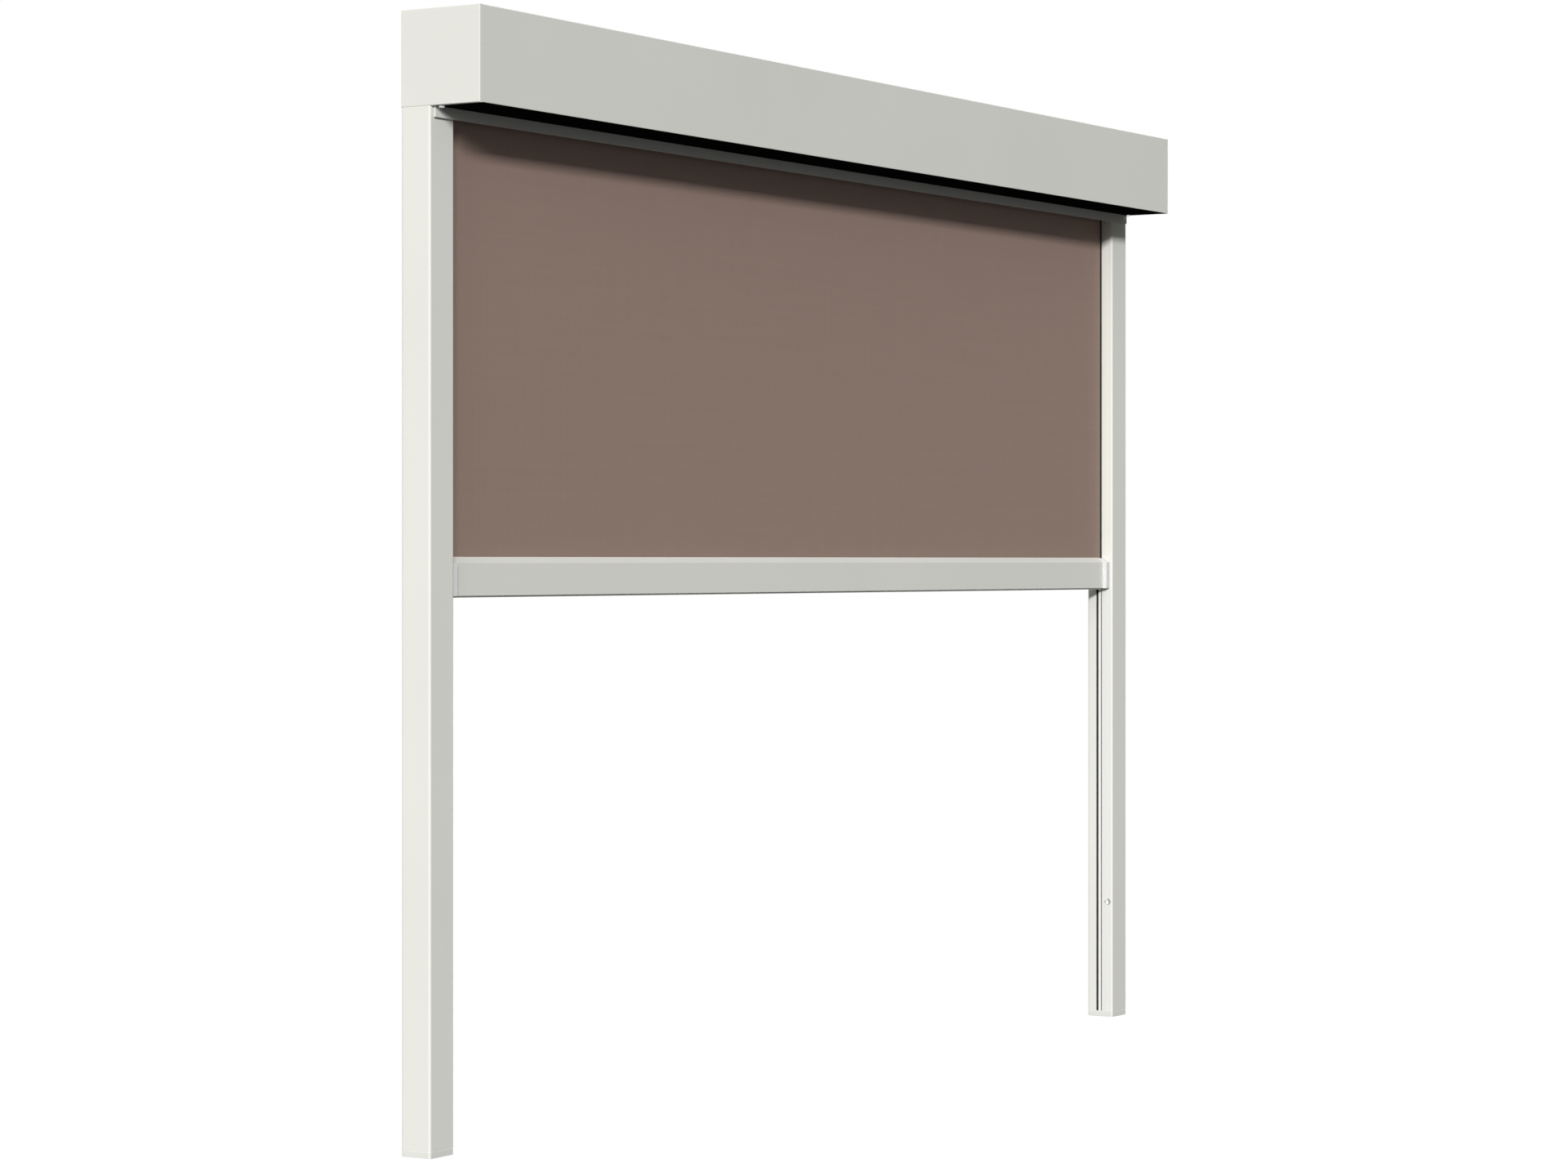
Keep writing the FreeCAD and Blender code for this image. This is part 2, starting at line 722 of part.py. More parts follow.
nodes.append(cable_grommet())


# Brackets on the end plates

def axis_square(half):
    """A square in Y and Z about the roller's axis, by half its side."""
    return rectangle("at.axis_y - " + half, "at.axis_y + " + half, "-" + half, half)


def bracket(label, side):
    """A square plate on the end plate, round the roller's axis, with its two screw holes."""
    body = new_body(label)
    seat = mirrored(side, "at.profile_end")
    pad(body, draw(body, "YZ_Plane", [axis_square("dims.bracket_side / 2")], offset=seat),
        "dims.bracket_thickness", forward=side < 0)
    holes = [(y, z, "dims.screw_shank_radius") for y, z in bracket_screw_places()]
    pocket(body, draw(body, "YZ_Plane", circles=holes, offset=seat), "dims.bracket_thickness",
           forward=side < 0)
    return body


def motor_bracket():
    """The bracket at the motor's end, with a square hole for the motor's stub."""
    body = bracket("motor_bracket", 1)
    stub = axis_square("dims.stub_side / 2")
    pocket(body, draw(body, "YZ_Plane", [stub], offset="at.profile_end"),
           "dims.bracket_thickness", forward=False)
    return body


def idler_bracket():
    """The bracket at the free end, with a square socket round the bearing."""
    body = bracket("idler_bracket", -1)
    socket = [axis_square("(dims.bearing_side / 2 + dims.cup_wall)"),
              axis_square("dims.bearing_side / 2")]
    pad(body, draw(body, "YZ_Plane", socket, offset="-at.bracket_face"),
        "dims.bearing_length + dims.motor_head_gap")
    return body


def along_axis(x, side):
    """Where a turned piece sits on the roller's axis, pointing to one side of the blind."""
    return {"x": mirrored(side, x), "y": "at.axis_y", "direction": (side, 0, 0)}


def idler_bearing():
    """The square bearing block in the bracket's socket."""
    body = new_body("idler_bearing")
    square = axis_square("dims.bearing_side / 2")
    bore = [("at.axis_y", "0", "dims.pin_radius + dims.running_gap")]
    pad(body, draw(body, "YZ_Plane", [square], bore, offset="-at.bracket_face"),
        "dims.bearing_length")
    return body


nodes.append(motor_bracket())
nodes.append(idler_bracket())
nodes.append(idler_bearing())


# Motor inside the tube

def motor_body():
    """A tube closed by a disc at each end, the inner one bored for the output shaft."""
    bore = "dims.shaft_radius + dims.running_gap * 6"
    inner = "dims.motor_radius - dims.motor_wall"
    return turned("tubular_motor", [
        (bore, "-dims.motor_length"),
        ("dims.motor_radius", "-dims.motor_length"),
        ("dims.motor_radius", "0"),
        ("0", "0"),
        ("0", "-dims.motor_wall"),
        (inner, "-dims.motor_wall"),
        (inner, "-dims.motor_length + dims.motor_wall"),
        (bore, "-dims.motor_length + dims.motor_wall"),
    ], **along_axis("at.head_start", 1))


def motor_head():
    """The many-sided head outside the tube, with the square stub that the bracket holds."""
    body = new_body("motor_head")
    length = "at.bracket_face - at.head_start"
    pad(body, draw(body, "XY_Plane", [polygon(24, "dims.motor_head_radius")]), length)
    half = "dims.stub_side / 2"
    stub = draw(body, "XY_Plane", [rectangle("-" + half, half, "-" + half, half)], offset=length)
    pad(body, stub, "dims.bracket_thickness")
    put(body, **along_axis("at.head_start", 1))
    return body


nodes.append(motor_body())
nodes.append(motor_head())


# Roller: tube, wound cloth, end fittings

def star(hub, reach, half):
    """The outline of four ribs on a hub: a plus sign whose arms end at the reach."""
    corners = []
    for along, across in (((1, 0), (0, 1)), ((0, 1), (-1, 0)), ((-1, 0), (0, -1)),
                          ((0, -1), (1, 0))):
        for far, wide in ((reach, -1), (reach, 1), (hub, 1)):
            side = half if far == reach else hub
            corners.append(tuple(
                "(%d) * %s + (%d) * %s" % (along[axis], far, across[axis] * wide, side)
                for axis in (0, 1)))
    return corners


def idler_cap():
    """The plug in the free end of the tube: flange, hub for the pin and four ribs."""
    body = new_body("idler_cap")
    bore = [("0", "0", "dims.pin_radius")]
    pad(body, draw(body, "XY_Plane", [polygon(24, "at.tube_radius")], bore), "dims.end_flange")
    ribs = star("(dims.pin_radius + dims.cap_wall)", "at.rib_reach", "(dims.rib_width / 2)")
    pad(body, draw(body, "XY_Plane", [ribs], bore), "dims.cap_length", forward=False)
    put(body, **along_axis("at.tube_end", -1))
    return body


def motor_crown():
    """The many-sided ring in the tube's end that turns with it on the motor's body."""
    body = new_body("motor_crown")
    bore = [("0", "0", "dims.motor_radius + dims.running_gap")]
    rim = polygon(16, "(at.tube_bore - dims.running_gap)")
    pad(body, draw(body, "XY_Plane", [rim], bore), "dims.crown_length", forward=False)
    put(body, **along_axis("at.tube_end", 1))
    return body


def drive_wheel():
    """The wheel on the motor's shaft that turns the tube: a hub with four ribs."""
    body = new_body("drive_wheel")
    ribs = star("(dims.shaft_radius + dims.wheel_hub)", "at.rib_reach", "(dims.rib_width / 2)")
    pad(body, draw(body, "XY_Plane", [ribs, polygon(6, "dims.shaft_radius")]), "dims.wheel_length",
        forward=False)
    put(body, **along_axis("at.head_start - dims.motor_length - dims.wheel_gap", 1))
    return body


def motor_shaft():
    """The hexagonal output shaft, from inside the motor's end through the drive wheel."""
    body = new_body("motor_shaft")
    pad(body, draw(body, "XY_Plane", [polygon(6, "dims.shaft_radius")]), "dims.shaft_length",
        forward=False)
    put(body, **along_axis("at.head_start - dims.motor_length + dims.shaft_insertion", 1))
    return body


def zip_roll():
    """The wound zip edges, past each end of the wound cloth."""
    rings = []
    for name, side in SIDES:
        rings.append(ring(name + "_zip_ring", "at.tube_radius", "at.zip_roll_radius", "0",
                          "dims.zip_width", **along_axis("at.fabric_edge", side)))
    return group("zip_roll", rings)


nodes.append(ring("roller_tube", "at.tube_bore", "at.tube_radius",
                  "-at.tube_end", "at.tube_end", **along_axis("0", 1)))
nodes.append(ring("fabric_roll", "at.tube_radius", "at.roll_radius",
                  "-at.fabric_edge", "at.fabric_edge", **along_axis("0", 1)))
nodes.append(zip_roll())
nodes.append(idler_cap())
nodes.append(ring("idler_pin", "0", "dims.pin_radius", "-dims.pin_length", "0",
                  **along_axis("at.bracket_face - dims.motor_head_gap", -1)))
nodes.append(motor_crown())
nodes.append(drive_wheel())
nodes.append(motor_shaft())


# Side guides: hollow rails with a zip insert, an inlet on top and a foot

def guide_rail(name, side):
    body = new_body(name + "_guide_rail")
    face = "at.guide_inner"
    outline = [
        (face, "-dims.guide_depth"),
        (face, "-dims.mark_setback - dims.mark_depth"),
        (face + " + dims.mark_depth", "-dims.mark_setback"),
        (face, "-dims.mark_setback + dims.mark_depth"),
        (face, "at.groove_front"),
        ("at.cell_inner", "at.groove_front"),
        ("at.cell_inner", "at.channel_front"),
        ("at.channel_end", "at.channel_front"),
        ("at.channel_end", "at.channel_back"),
        ("at.cell_inner", "at.channel_back"),
        ("at.cell_inner", "at.slot_back"),
        (face, "at.slot_back"),
        (face, "0"),
        ("at.half_width", "0"),
        ("at.half_width", "-dims.guide_depth"),
    ]
    front_cell = rectangle("at.cell_inner", "at.channel_end", "at.cell_front",
                           "at.channel_front - dims.guide_web")
    rear_cell = rectangle("at.cell_inner", "at.channel_end", "at.channel_back + dims.guide_web",
                          "-dims.guide_wall")
    outer_cell = rectangle("at.outer_cell", "at.cell_outer", "at.cell_front",
                           "-dims.guide_wall")
    outlines = [on_side(side, corners)
                for corners in (outline, front_cell, rear_cell, outer_cell)]
    section = draw(body, "XY_Plane", outlines, offset="-at.half_box")
    pad(body, section, "dims.guide_length - dims.foot_height", forward=False)
    corner_places = [(side * x, y) for x in (at.guide_inner, at.half_width)
                     for y in (0, -dims.guide_depth)]
    round_edges(body, "dims.guide_round", lambda edge: runs_along(edge, "z") and any(
        passes(edge, x=x, y=y) for x, y in corner_places))
    hole = ("-dims.mark_setback", "at.fixing_z", "dims.access_radius")
    access = draw(body, "YZ_Plane", circles=[hole], offset=mirrored(side, "at.outer_cell"))
    pocket(body, access, "dims.guide_width", forward=side < 0)
    return body


def zip_insert(name, side):
    """The plastic liner: a zip cavity behind a narrow groove, and the runner slot."""
    body = new_body(name + "_zip_insert")
    outline = [
        ("at.guide_inner", "at.groove_back"),
        ("at.guide_inner", "at.slot_front"),
        ("at.slot_end", "at.slot_front"),
        ("at.slot_end", "at.slot_back"),
        ("at.insert_face", "at.slot_back"),
        ("at.insert_face", "at.insert_back"),
        ("at.insert_end", "at.insert_back"),
        ("at.insert_end", "at.insert_front"),
        ("at.insert_face", "at.insert_front"),
        ("at.insert_face", "at.groove_front"),
        ("at.zip_face", "at.groove_front"),
        ("at.zip_face", "at.zip_front"),
        ("at.zip_end", "at.zip_front"),
        ("at.zip_end", "at.zip_back"),
        ("at.zip_face", "at.zip_back"),
        ("at.zip_face", "at.groove_back"),
    ]
    section = draw(body, "XY_Plane", [on_side(side, outline)], offset="-at.half_box")
    pad(body, section, "dims.guide_length - dims.foot_height", forward=False)
    return body


def zip_inlet(name, side):
    """The funnel on top of the guide that leads the zip into its cavity."""
    body = new_body(name + "_zip_inlet")
    foot = "-at.half_box"
    top = "-at.half_box + dims.inlet_height"
    block = on_side(side, rectangle("at.guide_inner + dims.insert_gap", "at.insert_end",
                                    "-dims.inlet_front", "at.neck_back"))
    pad(body, draw(body, "XY_Plane", [block], offset=foot), "dims.inlet_height")
    for start, length, front, back in (
            ("at.guide_inner", "at.zip_face - at.guide_inner", "at.groove_front",
             "at.groove_back"),
            ("at.zip_face", "dims.zip_cavity_depth", "at.zip_front", "at.zip_back")):
        mouth = [(front, foot), (back, foot), (back + " + dims.inlet_flare", top),
                 (front + " - dims.inlet_flare", top)]
        pocket(body, draw(body, "YZ_Plane", [mouth], offset=mirrored(side, start)), length,
               forward=side > 0)
    lead = on_side(side, [("at.zip_end", foot), ("at.zip_end", top),
                          ("at.zip_end + dims.inlet_flare", top)])
    pocket(body, draw(body, "XZ_Plane", [lead], offset="-at.zip_back"),
           "dims.zip_cavity_width")
    peg = on_side(side, rectangle("at.cell_inner + dims.insert_gap",
                                  "at.channel_end - dims.insert_gap",
                                  "at.cell_front + dims.insert_gap",
                                  "at.channel_front - dims.guide_web - dims.insert_gap"))
    pad(body, draw(body, "XY_Plane", [peg], offset="-at.half_box"), "dims.inlet_peg_length",
        forward=False)
    return body


def guide_foot(name, side):
    """The plug that closes the guide's lower end, with hollow pegs up into the rail."""
    body = new_body(name + "_guide_foot")
    plate = on_side(side, rectangle("at.guide_inner", "at.half_width", "-dims.guide_depth", "0"))
    pad(body, draw(body, "XY_Plane", [plate], offset="at.guide_bottom"), "dims.foot_height")
    round_edges(body, "dims.guide_round", lambda edge: runs_along(edge, "z"))
    chamfer_edges(body, "dims.foot_chamfer", lambda edge: passes(edge, z=at.rail_bottom))
    gap = "dims.insert_gap"
    wall = "dims.insert_gap + dims.spigot_wall"
    for inner, outer, front, back in (
            ("at.outer_cell", "at.cell_outer", "at.cell_front", "-dims.guide_wall"),
            ("at.cell_inner", "at.channel_end", "at.cell_front",
             "at.channel_front - dims.guide_web")):
        peg = [on_side(side, rectangle("%s + %s" % (inner, inset), "%s - %s" % (outer, inset),
                                       "%s + %s" % (front, inset), "%s - %s" % (back, inset)))
               for inset in (gap, "(%s)" % wall)]
        pad(body, draw(body, "XY_Plane", peg, offset="at.rail_bottom"), "dims.foot_peg_length")
    return body


def fixing_plug(name, side):
    """The cup-shaped cap in the access hole over the side fixing, with a low round rim."""
    body = new_body(name + "_fixing_plug")
    pad(body, draw(body, "XY_Plane", circles=[("0", "0", "dims.plug_cap_radius")]),
        "dims.plug_cap_height")
    stem = draw(body, "XY_Plane", [polygon(12, "(dims.access_radius - dims.plate_gap)")])
    pad(body, stem, "dims.plug_stem_length", forward=False)
    dish = draw(body, "XY_Plane", [polygon(12, "dims.plug_dish_radius")],
                offset="dims.plug_cap_height")
    pocket(body, dish, "dims.plug_dish_depth", forward=False)
    put(body, x=mirrored(side, "at.guide_inner"), y="-dims.mark_setback", z="at.fixing_z",
        direction=(-side, 0, 0))
    return body


for name, side in SIDES:
    nodes.append(guide_rail(name, side))
    nodes.append(zip_insert(name, side))
    nodes.append(zip_inlet(name, side))
    nodes.append(guide_foot(name, side))
    nodes.append(fixing_plug(name, side))


# Bottom bar: hollow profile, ballast, seal, end caps with runners

def bottom_bar():
    body = new_body("bottom_bar")
    slot = "dims.keder_slot / 2"
    cloth = "-dims.fabric_setback"
    outline = [
        ("at.bar_front", "at.bar_bottom"),
        ("at.bar_front", "at.bar_top - dims.bar_chamfer"),
        ("at.bar_front + dims.bar_chamfer", "at.bar_top"),
        (cloth + " - " + slot, "at.bar_top"),
        (cloth + " - " + slot, "at.keder_z"),
        (cloth + " + " + slot, "at.keder_z"),
        (cloth + " + " + slot, "at.bar_top"),
        ("at.bar_back", "at.bar_top"),
        ("at.bar_back", "at.bar_bottom"),
        ("at.seal_y + dims.seal_slot / 2", "at.bar_bottom"),
        ("at.seal_y + dims.seal_slot / 2", "at.bar_bottom + dims.bar_wall"),
        ("at.seal_y + dims.seal_head / 2", "at.bar_bottom + dims.bar_wall"),
        ("at.seal_y + dims.seal_head / 2", "at.seal_roof"),
        ("at.seal_y - dims.seal_head / 2", "at.seal_roof"),
        ("at.seal_y - dims.seal_head / 2", "at.bar_bottom + dims.bar_wall"),
        ("at.seal_y - dims.seal_slot / 2", "at.bar_bottom + dims.bar_wall"),
        ("at.seal_y - dims.seal_slot / 2", "at.bar_bottom"),
    ]
    chamber = rectangle("at.chamber_front", "at.chamber_back", "at.chamber_floor", "at.web_z")
    cell_floor = "at.web_z + dims.bar_wall"
    rear_cell = rectangle(cloth + " + at.keder_wall", "at.chamber_back", cell_floor,
                          "at.bar_top - dims.bar_wall")
    slope = "at.bar_top - dims.bar_chamfer - at.slope_inset + dims.bar_wall"
    front_cell = [
        ("at.chamber_front", cell_floor),
        (cloth + " - at.keder_wall", cell_floor),
        (cloth + " - at.keder_wall",
         "%s + dims.bar_front_reach - at.keder_wall - dims.bar_wall" % slope),
        ("at.chamber_front", slope),
    ]
    section = draw(body, "YZ_Plane", [outline, chamber, rear_cell, front_cell])
    pad(body, section, "2 * at.bar_end", both=True)
    channel = draw(body, "YZ_Plane",
                   circles=[(cloth, "at.keder_z", "dims.keder_radius + dims.keder_gap")])
    pocket(body, channel, "2 * at.bar_end", both=True)
    rounded = [(at.bar_front, at.bar_bottom), (at.bar_back, at.bar_bottom),
               (at.bar_back, at.bar_top)]
    round_edges(body, "dims.bar_edge_round", lambda edge: runs_along(edge, "x") and any(
        passes(edge, y=y, z=z) for y, z in rounded))
    return body


def bar_seal():
    """The rubber strip under the bar, with a T-shaped head in the bar's slot."""
    body = new_body("bar_seal")
    lip_z = "at.bar_bottom + dims.bar_wall"
    outline = []
    for side in ("-", "+"):
        half = [
            ("at.seal_y %s (dims.seal_head / 2 - dims.seal_gap)" % side,
             "at.seal_roof - dims.seal_gap"),
            ("at.seal_y %s (dims.seal_head / 2 - dims.seal_gap)" % side, lip_z),
            ("at.seal_y %s (dims.seal_slot / 2 - dims.seal_gap)" % side, lip_z),
            ("at.seal_y %s (dims.seal_slot / 2 - dims.seal_gap)" % side, "at.bar_bottom"),
            ("at.seal_y %s dims.seal_width / 2" % side, "at.bar_bottom"),
            ("at.seal_y %s dims.seal_width / 2" % side,
             "at.bar_bottom - dims.seal_drop / 2"),
            ("at.seal_y %s (dims.seal_width / 2 - dims.seal_drop / 2)" % side,
             "at.bar_bottom - dims.seal_drop"),
        ]
        outline += half if side == "-" else half[::-1]
    pad(body, draw(body, "YZ_Plane", [outline]), "2 * at.bar_end", both=True)
    return body


def bar_end_cap(name, side):
    """The end cap: a flange proud of the bar, a plug inside it and a runner for the slot."""
    body = new_body(name + "_bar_end_cap")
    outward = side > 0
    front = "at.bar_front - dims.bar_cap_reach"
    flange = [
        ("at.bar_back", "at.bar_bottom"),
        (front, "at.bar_bottom"),
        (front, "at.bar_top - dims.bar_cap_slope"),
        ("-dims.fabric_setback", "at.bar_top"),
        ("at.bar_back", "at.bar_top"),
    ]
    seat = mirrored(side, "at.bar_end")
    pad(body, draw(body, "YZ_Plane", [flange], offset=seat), "dims.bar_cap_thickness",
        forward=outward)
    inboard = side * at.bar_end
    chamfer_edges(body, "dims.bar_cap_chamfer",
                  lambda edge: passes(edge, x=inboard) and slopes(edge))
    round_edges(body, "dims.bar_cap_round",
                lambda edge: runs_along(edge, "x") and not passes(edge, z=at.bar_top))
    cloth_slot = rectangle("-dims.fabric_setback - dims.keder_slot / 2",
                           "-dims.fabric_setback + dims.keder_slot / 2",
                           "at.keder_z", "at.bar_top")
    pocket(body, draw(body, "YZ_Plane", [cloth_slot], offset=seat), "dims.bar_cap_thickness",
           forward=outward)
    plug = []
    for inset in ("dims.ballast_gap", "(dims.ballast_gap + dims.bar_wall)"):
        plug.append(rectangle("at.chamber_front + " + inset, "at.chamber_back - " + inset,
                              "at.chamber_floor + " + inset, "at.web_z - " + inset))
    pad(body, draw(body, "YZ_Plane", plug, offset=seat), "dims.bar_cap_plug",
        forward=not outward)
    half = "(dims.slot_gap / 2 - dims.runner_gap)"
    runner = rectangle("-dims.runner_setback - " + half, "-dims.runner_setback + " + half,
                       "at.runner_top - dims.runner_height", "at.runner_top")
    reach = "at.slot_end - dims.runner_end_gap - at.bar_cap_face"
    pad(body, draw(body, "YZ_Plane", [runner], offset=mirrored(side, "at.bar_cap_face")),
        reach, forward=outward)
    return body


def block(label, x, y, z, length, width, height):
    """A plain bar placed by its low corner."""
    piece = doc.addObject("Part::Box", label)
    piece.Label = label
    for name, expression in (("Length", length), ("Width", width), ("Height", height)):
        piece.setExpression(name, expression)
    for axis, expression in (("x", x), ("y", y), ("z", z)):
        piece.setExpression(".Placement.Base." + axis, expression)
    return piece


nodes.append(bottom_bar())
nodes.append(bar_seal())
for name, side in SIDES:
    nodes.append(bar_end_cap(name, side))
ballast_half = "(at.bar_end - dims.bar_cap_plug - dims.ballast_gap)"
nodes.append(block("ballast_bar", "-" + ballast_half,
                   "at.seal_y - dims.ballast_depth / 2",
                   "at.chamber_floor + dims.ballast_gap",
                   "2 * " + ballast_half, "dims.ballast_depth", "dims.ballast_height"))
nodes.append(ring("fabric_keder", "0", "dims.keder_radius", "-at.bar_end", "at.bar_end",
                  y="-dims.fabric_setback", z="at.keder_z", direction=(1, 0, 0)))


# Cloth between the roller and the bar, with its zip edges

keder_top = "(at.keder_z + dims.keder_radius)"
nodes.append(block("fabric_sheet", "-at.fabric_edge", "at.fabric_front", keder_top,
                   "2 * at.fabric_edge", "dims.fabric_thickness", "-" + keder_top))
for name, side in SIDES:
    low_x = "at.fabric_edge" if side > 0 else "-at.zip_edge"
    nodes.append(block(name + "_zip_strip", low_x,
                       "-dims.fabric_setback - dims.zip_thickness / 2", "at.bar_top",
                       "dims.zip_width", "dims.zip_thickness", "-at.bar_top"))


# Every object and every shape is sound before anything is written

doc.recompute()
for thing in doc.Objects:
    if "Invalid" in thing.State or "Error" in thing.State:
        raise RuntimeError("%s is not sound: %s" % (thing.Label, thing.State))
for node in nodes:
    pieces = len(node.Links) if node.TypeId == "Part::Compound" else 1
    if not node.Shape.isValid() or len(node.Shape.Solids) != pieces:
        raise RuntimeError("%s is not %d valid solids" % (node.Label, pieces))

os.makedirs("parts", exist_ok=True)
for node in nodes:
    node.Shape.exportStep("parts/%s.step" % node.Label)
print("%d nodes, %.1f mm wide, %.1f mm high" % (
    len(nodes), 2 * at.half_width, at.half_box - at.guide_bottom))
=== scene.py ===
"""Finishes and fine parts of an exterior roller blind, with its studio and camera."""

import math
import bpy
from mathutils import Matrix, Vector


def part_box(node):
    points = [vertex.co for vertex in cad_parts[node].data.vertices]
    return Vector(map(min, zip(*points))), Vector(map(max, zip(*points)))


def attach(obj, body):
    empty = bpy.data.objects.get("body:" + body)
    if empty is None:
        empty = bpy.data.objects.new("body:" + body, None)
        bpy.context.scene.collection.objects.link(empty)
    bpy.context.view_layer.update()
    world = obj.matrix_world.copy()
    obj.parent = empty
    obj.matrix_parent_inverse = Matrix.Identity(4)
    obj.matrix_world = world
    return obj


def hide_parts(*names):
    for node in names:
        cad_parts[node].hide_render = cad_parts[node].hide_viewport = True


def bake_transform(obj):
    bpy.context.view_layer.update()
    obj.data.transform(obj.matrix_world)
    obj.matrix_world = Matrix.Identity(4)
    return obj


bl_info = {
    "name": "Exterior Roller Blind",
    "version": (1, 0, 0),
    "blender": (4, 5, 0),
    "location": "3D View > Sidebar > Blind",
    "description": "Coats, cloth, zip edges, screws and studio for an exterior roller blind",
    "category": "Object",
}

import bmesh
import bpy
from bpy.props import FloatProperty, FloatVectorProperty, IntProperty, PointerProperty
from mathutils import Matrix, Vector

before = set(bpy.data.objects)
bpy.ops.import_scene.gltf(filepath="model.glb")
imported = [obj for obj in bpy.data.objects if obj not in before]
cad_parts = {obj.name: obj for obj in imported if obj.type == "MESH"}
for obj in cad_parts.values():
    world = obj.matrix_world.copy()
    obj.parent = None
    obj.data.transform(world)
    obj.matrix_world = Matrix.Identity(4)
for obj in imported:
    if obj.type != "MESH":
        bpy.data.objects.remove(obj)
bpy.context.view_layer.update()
SIDES = (("left", -1), ("right", 1))

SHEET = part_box("fabric_sheet")
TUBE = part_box("roller_tube")
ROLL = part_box("fabric_roll")
ZIP_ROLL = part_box("zip_roll")
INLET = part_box("right_zip_inlet")
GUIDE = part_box("right_guide_rail")

AXIS = (TUBE[0] + TUBE[1]) / 2
TUBE_RADIUS = (TUBE[1].z - TUBE[0].z) / 2
ROLL_RADIUS = (ROLL[1].z - ROLL[0].z) / 2
ZIP_RADIUS = (ZIP_ROLL[1].z - ZIP_ROLL[0].z) / 2
CLOTH_HALF = SHEET[1].x
CLOTH_Y = (SHEET[0].y + SHEET[1].y) / 2
CLOTH_FOOT = SHEET[0].z
CLOTH_THICKNESS = SHEET[1].y - SHEET[0].y
ACROSS = Vector((1, 0, 0))
UP = Vector((0, 0, 1))


def colour(name, default, description):
    """A colour that a user may change, given as linear red, green and blue."""
    return FloatVectorProperty(name=name, description=description, default=default,
                               subtype="COLOR", size=3, min=0, max=1)


def length(name, default, description):
    """A length in metres."""
    return FloatProperty(name=name, description=description, default=default,
                         min=0, unit="LENGTH", precision=5)


def share(name, default, description):
    """A plain number, such as a roughness or a strength."""
    return FloatProperty(name=name, description=description, default=default, min=0)


class BlindColours(bpy.types.PropertyGroup):
    coat: colour("Coat", (0.75, 0.75, 0.70), "Powder coat of the profiles")
    # Painted shade: a black that stands for the shade under the front cover.
    underside_shade: colour("Lining", (0.006, 0.006, 0.006), "Black underside of the front cover")
    caps: colour("Bar caps", (0.745, 0.74, 0.735), "Moulded end caps of the bottom bar")
    feet: colour("Feet", (0.745, 0.752, 0.697), "Moulded feet of the guides")
    # The plugs' grey is darkened as painted shade of their dish.
    plugs: colour("Plugs", (0.42, 0.41, 0.39), "Moulded plugs over the side fixings")
    # Painted highlight: the light band on the plugs and the light line along the feet's upper
    # edge.
    painted_highlight: colour("Worn plastic", (0.86, 0.86, 0.84), "Polished plugs and edge of the feet")
    cloth: colour("Cloth", (0.321, 0.231, 0.193), "Yarn of the screen cloth")
    liner: colour("Liner", (0.90, 0.90, 0.875), "White plastic in the guides")
    cast: colour("Casting", (0.62, 0.62, 0.61), "Bare die-cast metal")
    tube: colour("Tube", (0.72, 0.72, 0.73), "Bare rolled tube")
    zinc: colour("Zinc", (0.66, 0.67, 0.68), "Bright plated steel")
    enamel: colour("Enamel", (0.78, 0.78, 0.77), "Baked coat of the motor's tube")
    black: colour("Black plastic", (0.028, 0.028, 0.030), "Moulded black plastic")
    seal: colour("Seal", (0.76, 0.76, 0.73), "Pale grey rubber under the bar")
    rubber: colour("Rubber", (0.022, 0.022, 0.022), "Black rubber of the cable grommet")
    weld: colour("Welded edge", (0.034, 0.028, 0.023), "Strip where the zip is welded on")
    tape: colour("Zip tape", (0.045, 0.040, 0.038), "Zip edges of the cloth")
    dust: colour("Dust", (0.46, 0.43, 0.38), "Fine dust that settles on upper faces")


class BlindSizes(bpy.types.PropertyGroup):
    peel: length("Coat peel", 0.0016, "Width of the ripples in the powder coat")
    yarn: length("Yarn pitch", 0.0011, "Distance from yarn to yarn in the cloth")
    wrap: FloatProperty(name="Wrap", description="How far the cloth follows the roller",
                        default=math.radians(115), subtype="ANGLE")
    wrap_lift: length("Wrap lift", 0.0004, "Gap of the sheet's wrap over the wound cloth")
    weld: length("Welded edge", 0.005, "Width of the welded strip that shows at the guide")
    coil_pitch: length("Coil pitch", 0.0015, "Distance from tooth to tooth of the zip")
    coil_wire: length("Coil wire", 0.0004, "Radius of the zip's coil wire")
    turn_steps: IntProperty(name="Turn steps", description="Steps in a turn of wound cloth",
                            default=48, min=12)
    round_steps: IntProperty(name="Round steps", description="Steps in a full turn of a screw",
                             default=48, min=24)
    recess_reach: share("Recess reach", 0.55, "Reach of the cross recess in head radii")
    recess_width: share("Recess width", 0.15, "Half width of a recess arm in head radii")
    recess_depth: share("Recess depth", 0.62, "Depth of the recess in head heights")


class BlindStudio(bpy.types.PropertyGroup):
    key: share("Key", 141000, "Power in watts of the long lamp at the left front")
    key_place: FloatVectorProperty(name="Key place", description="Middle of the long lamp",
                                   unit="LENGTH", default=(-81.6, -54.8, 30.4))
    key_length: length("Key length", 62, "Length of the lamp along the blind")
    key_width: length("Key width", 8.2, "Width of the lamp")
    soft: share("Soft", 0.70, "Strength of the wide sun from the left")
    fill: share("Fill", 1.8, "Strength of the sun from behind on the right")
    rim: share("Rim", 2.7, "Strength of the sun that grazes the right end from behind")
    ambient: share("Ambient", 0.225, "Light of the sky on matt faces")
    floor_drop: length("Floor drop", 0.9, "From the guides' feet down to the floor")
    lens: FloatProperty(name="Lens", description="Focal length in millimetres", default=93.05)
    eye: FloatVectorProperty(name="Eye", description="Place of the camera", unit="LENGTH",
                             default=(-4.1203, -2.5350, -0.51654))
    turn: FloatProperty(name="Turn", description="Camera's turn about the vertical",
                        default=math.radians(-58.177), subtype="ANGLE")
    rise: FloatProperty(name="Rise", description="Vertical shift of the camera",
                        default=-0.01325, precision=5)


# Node trees

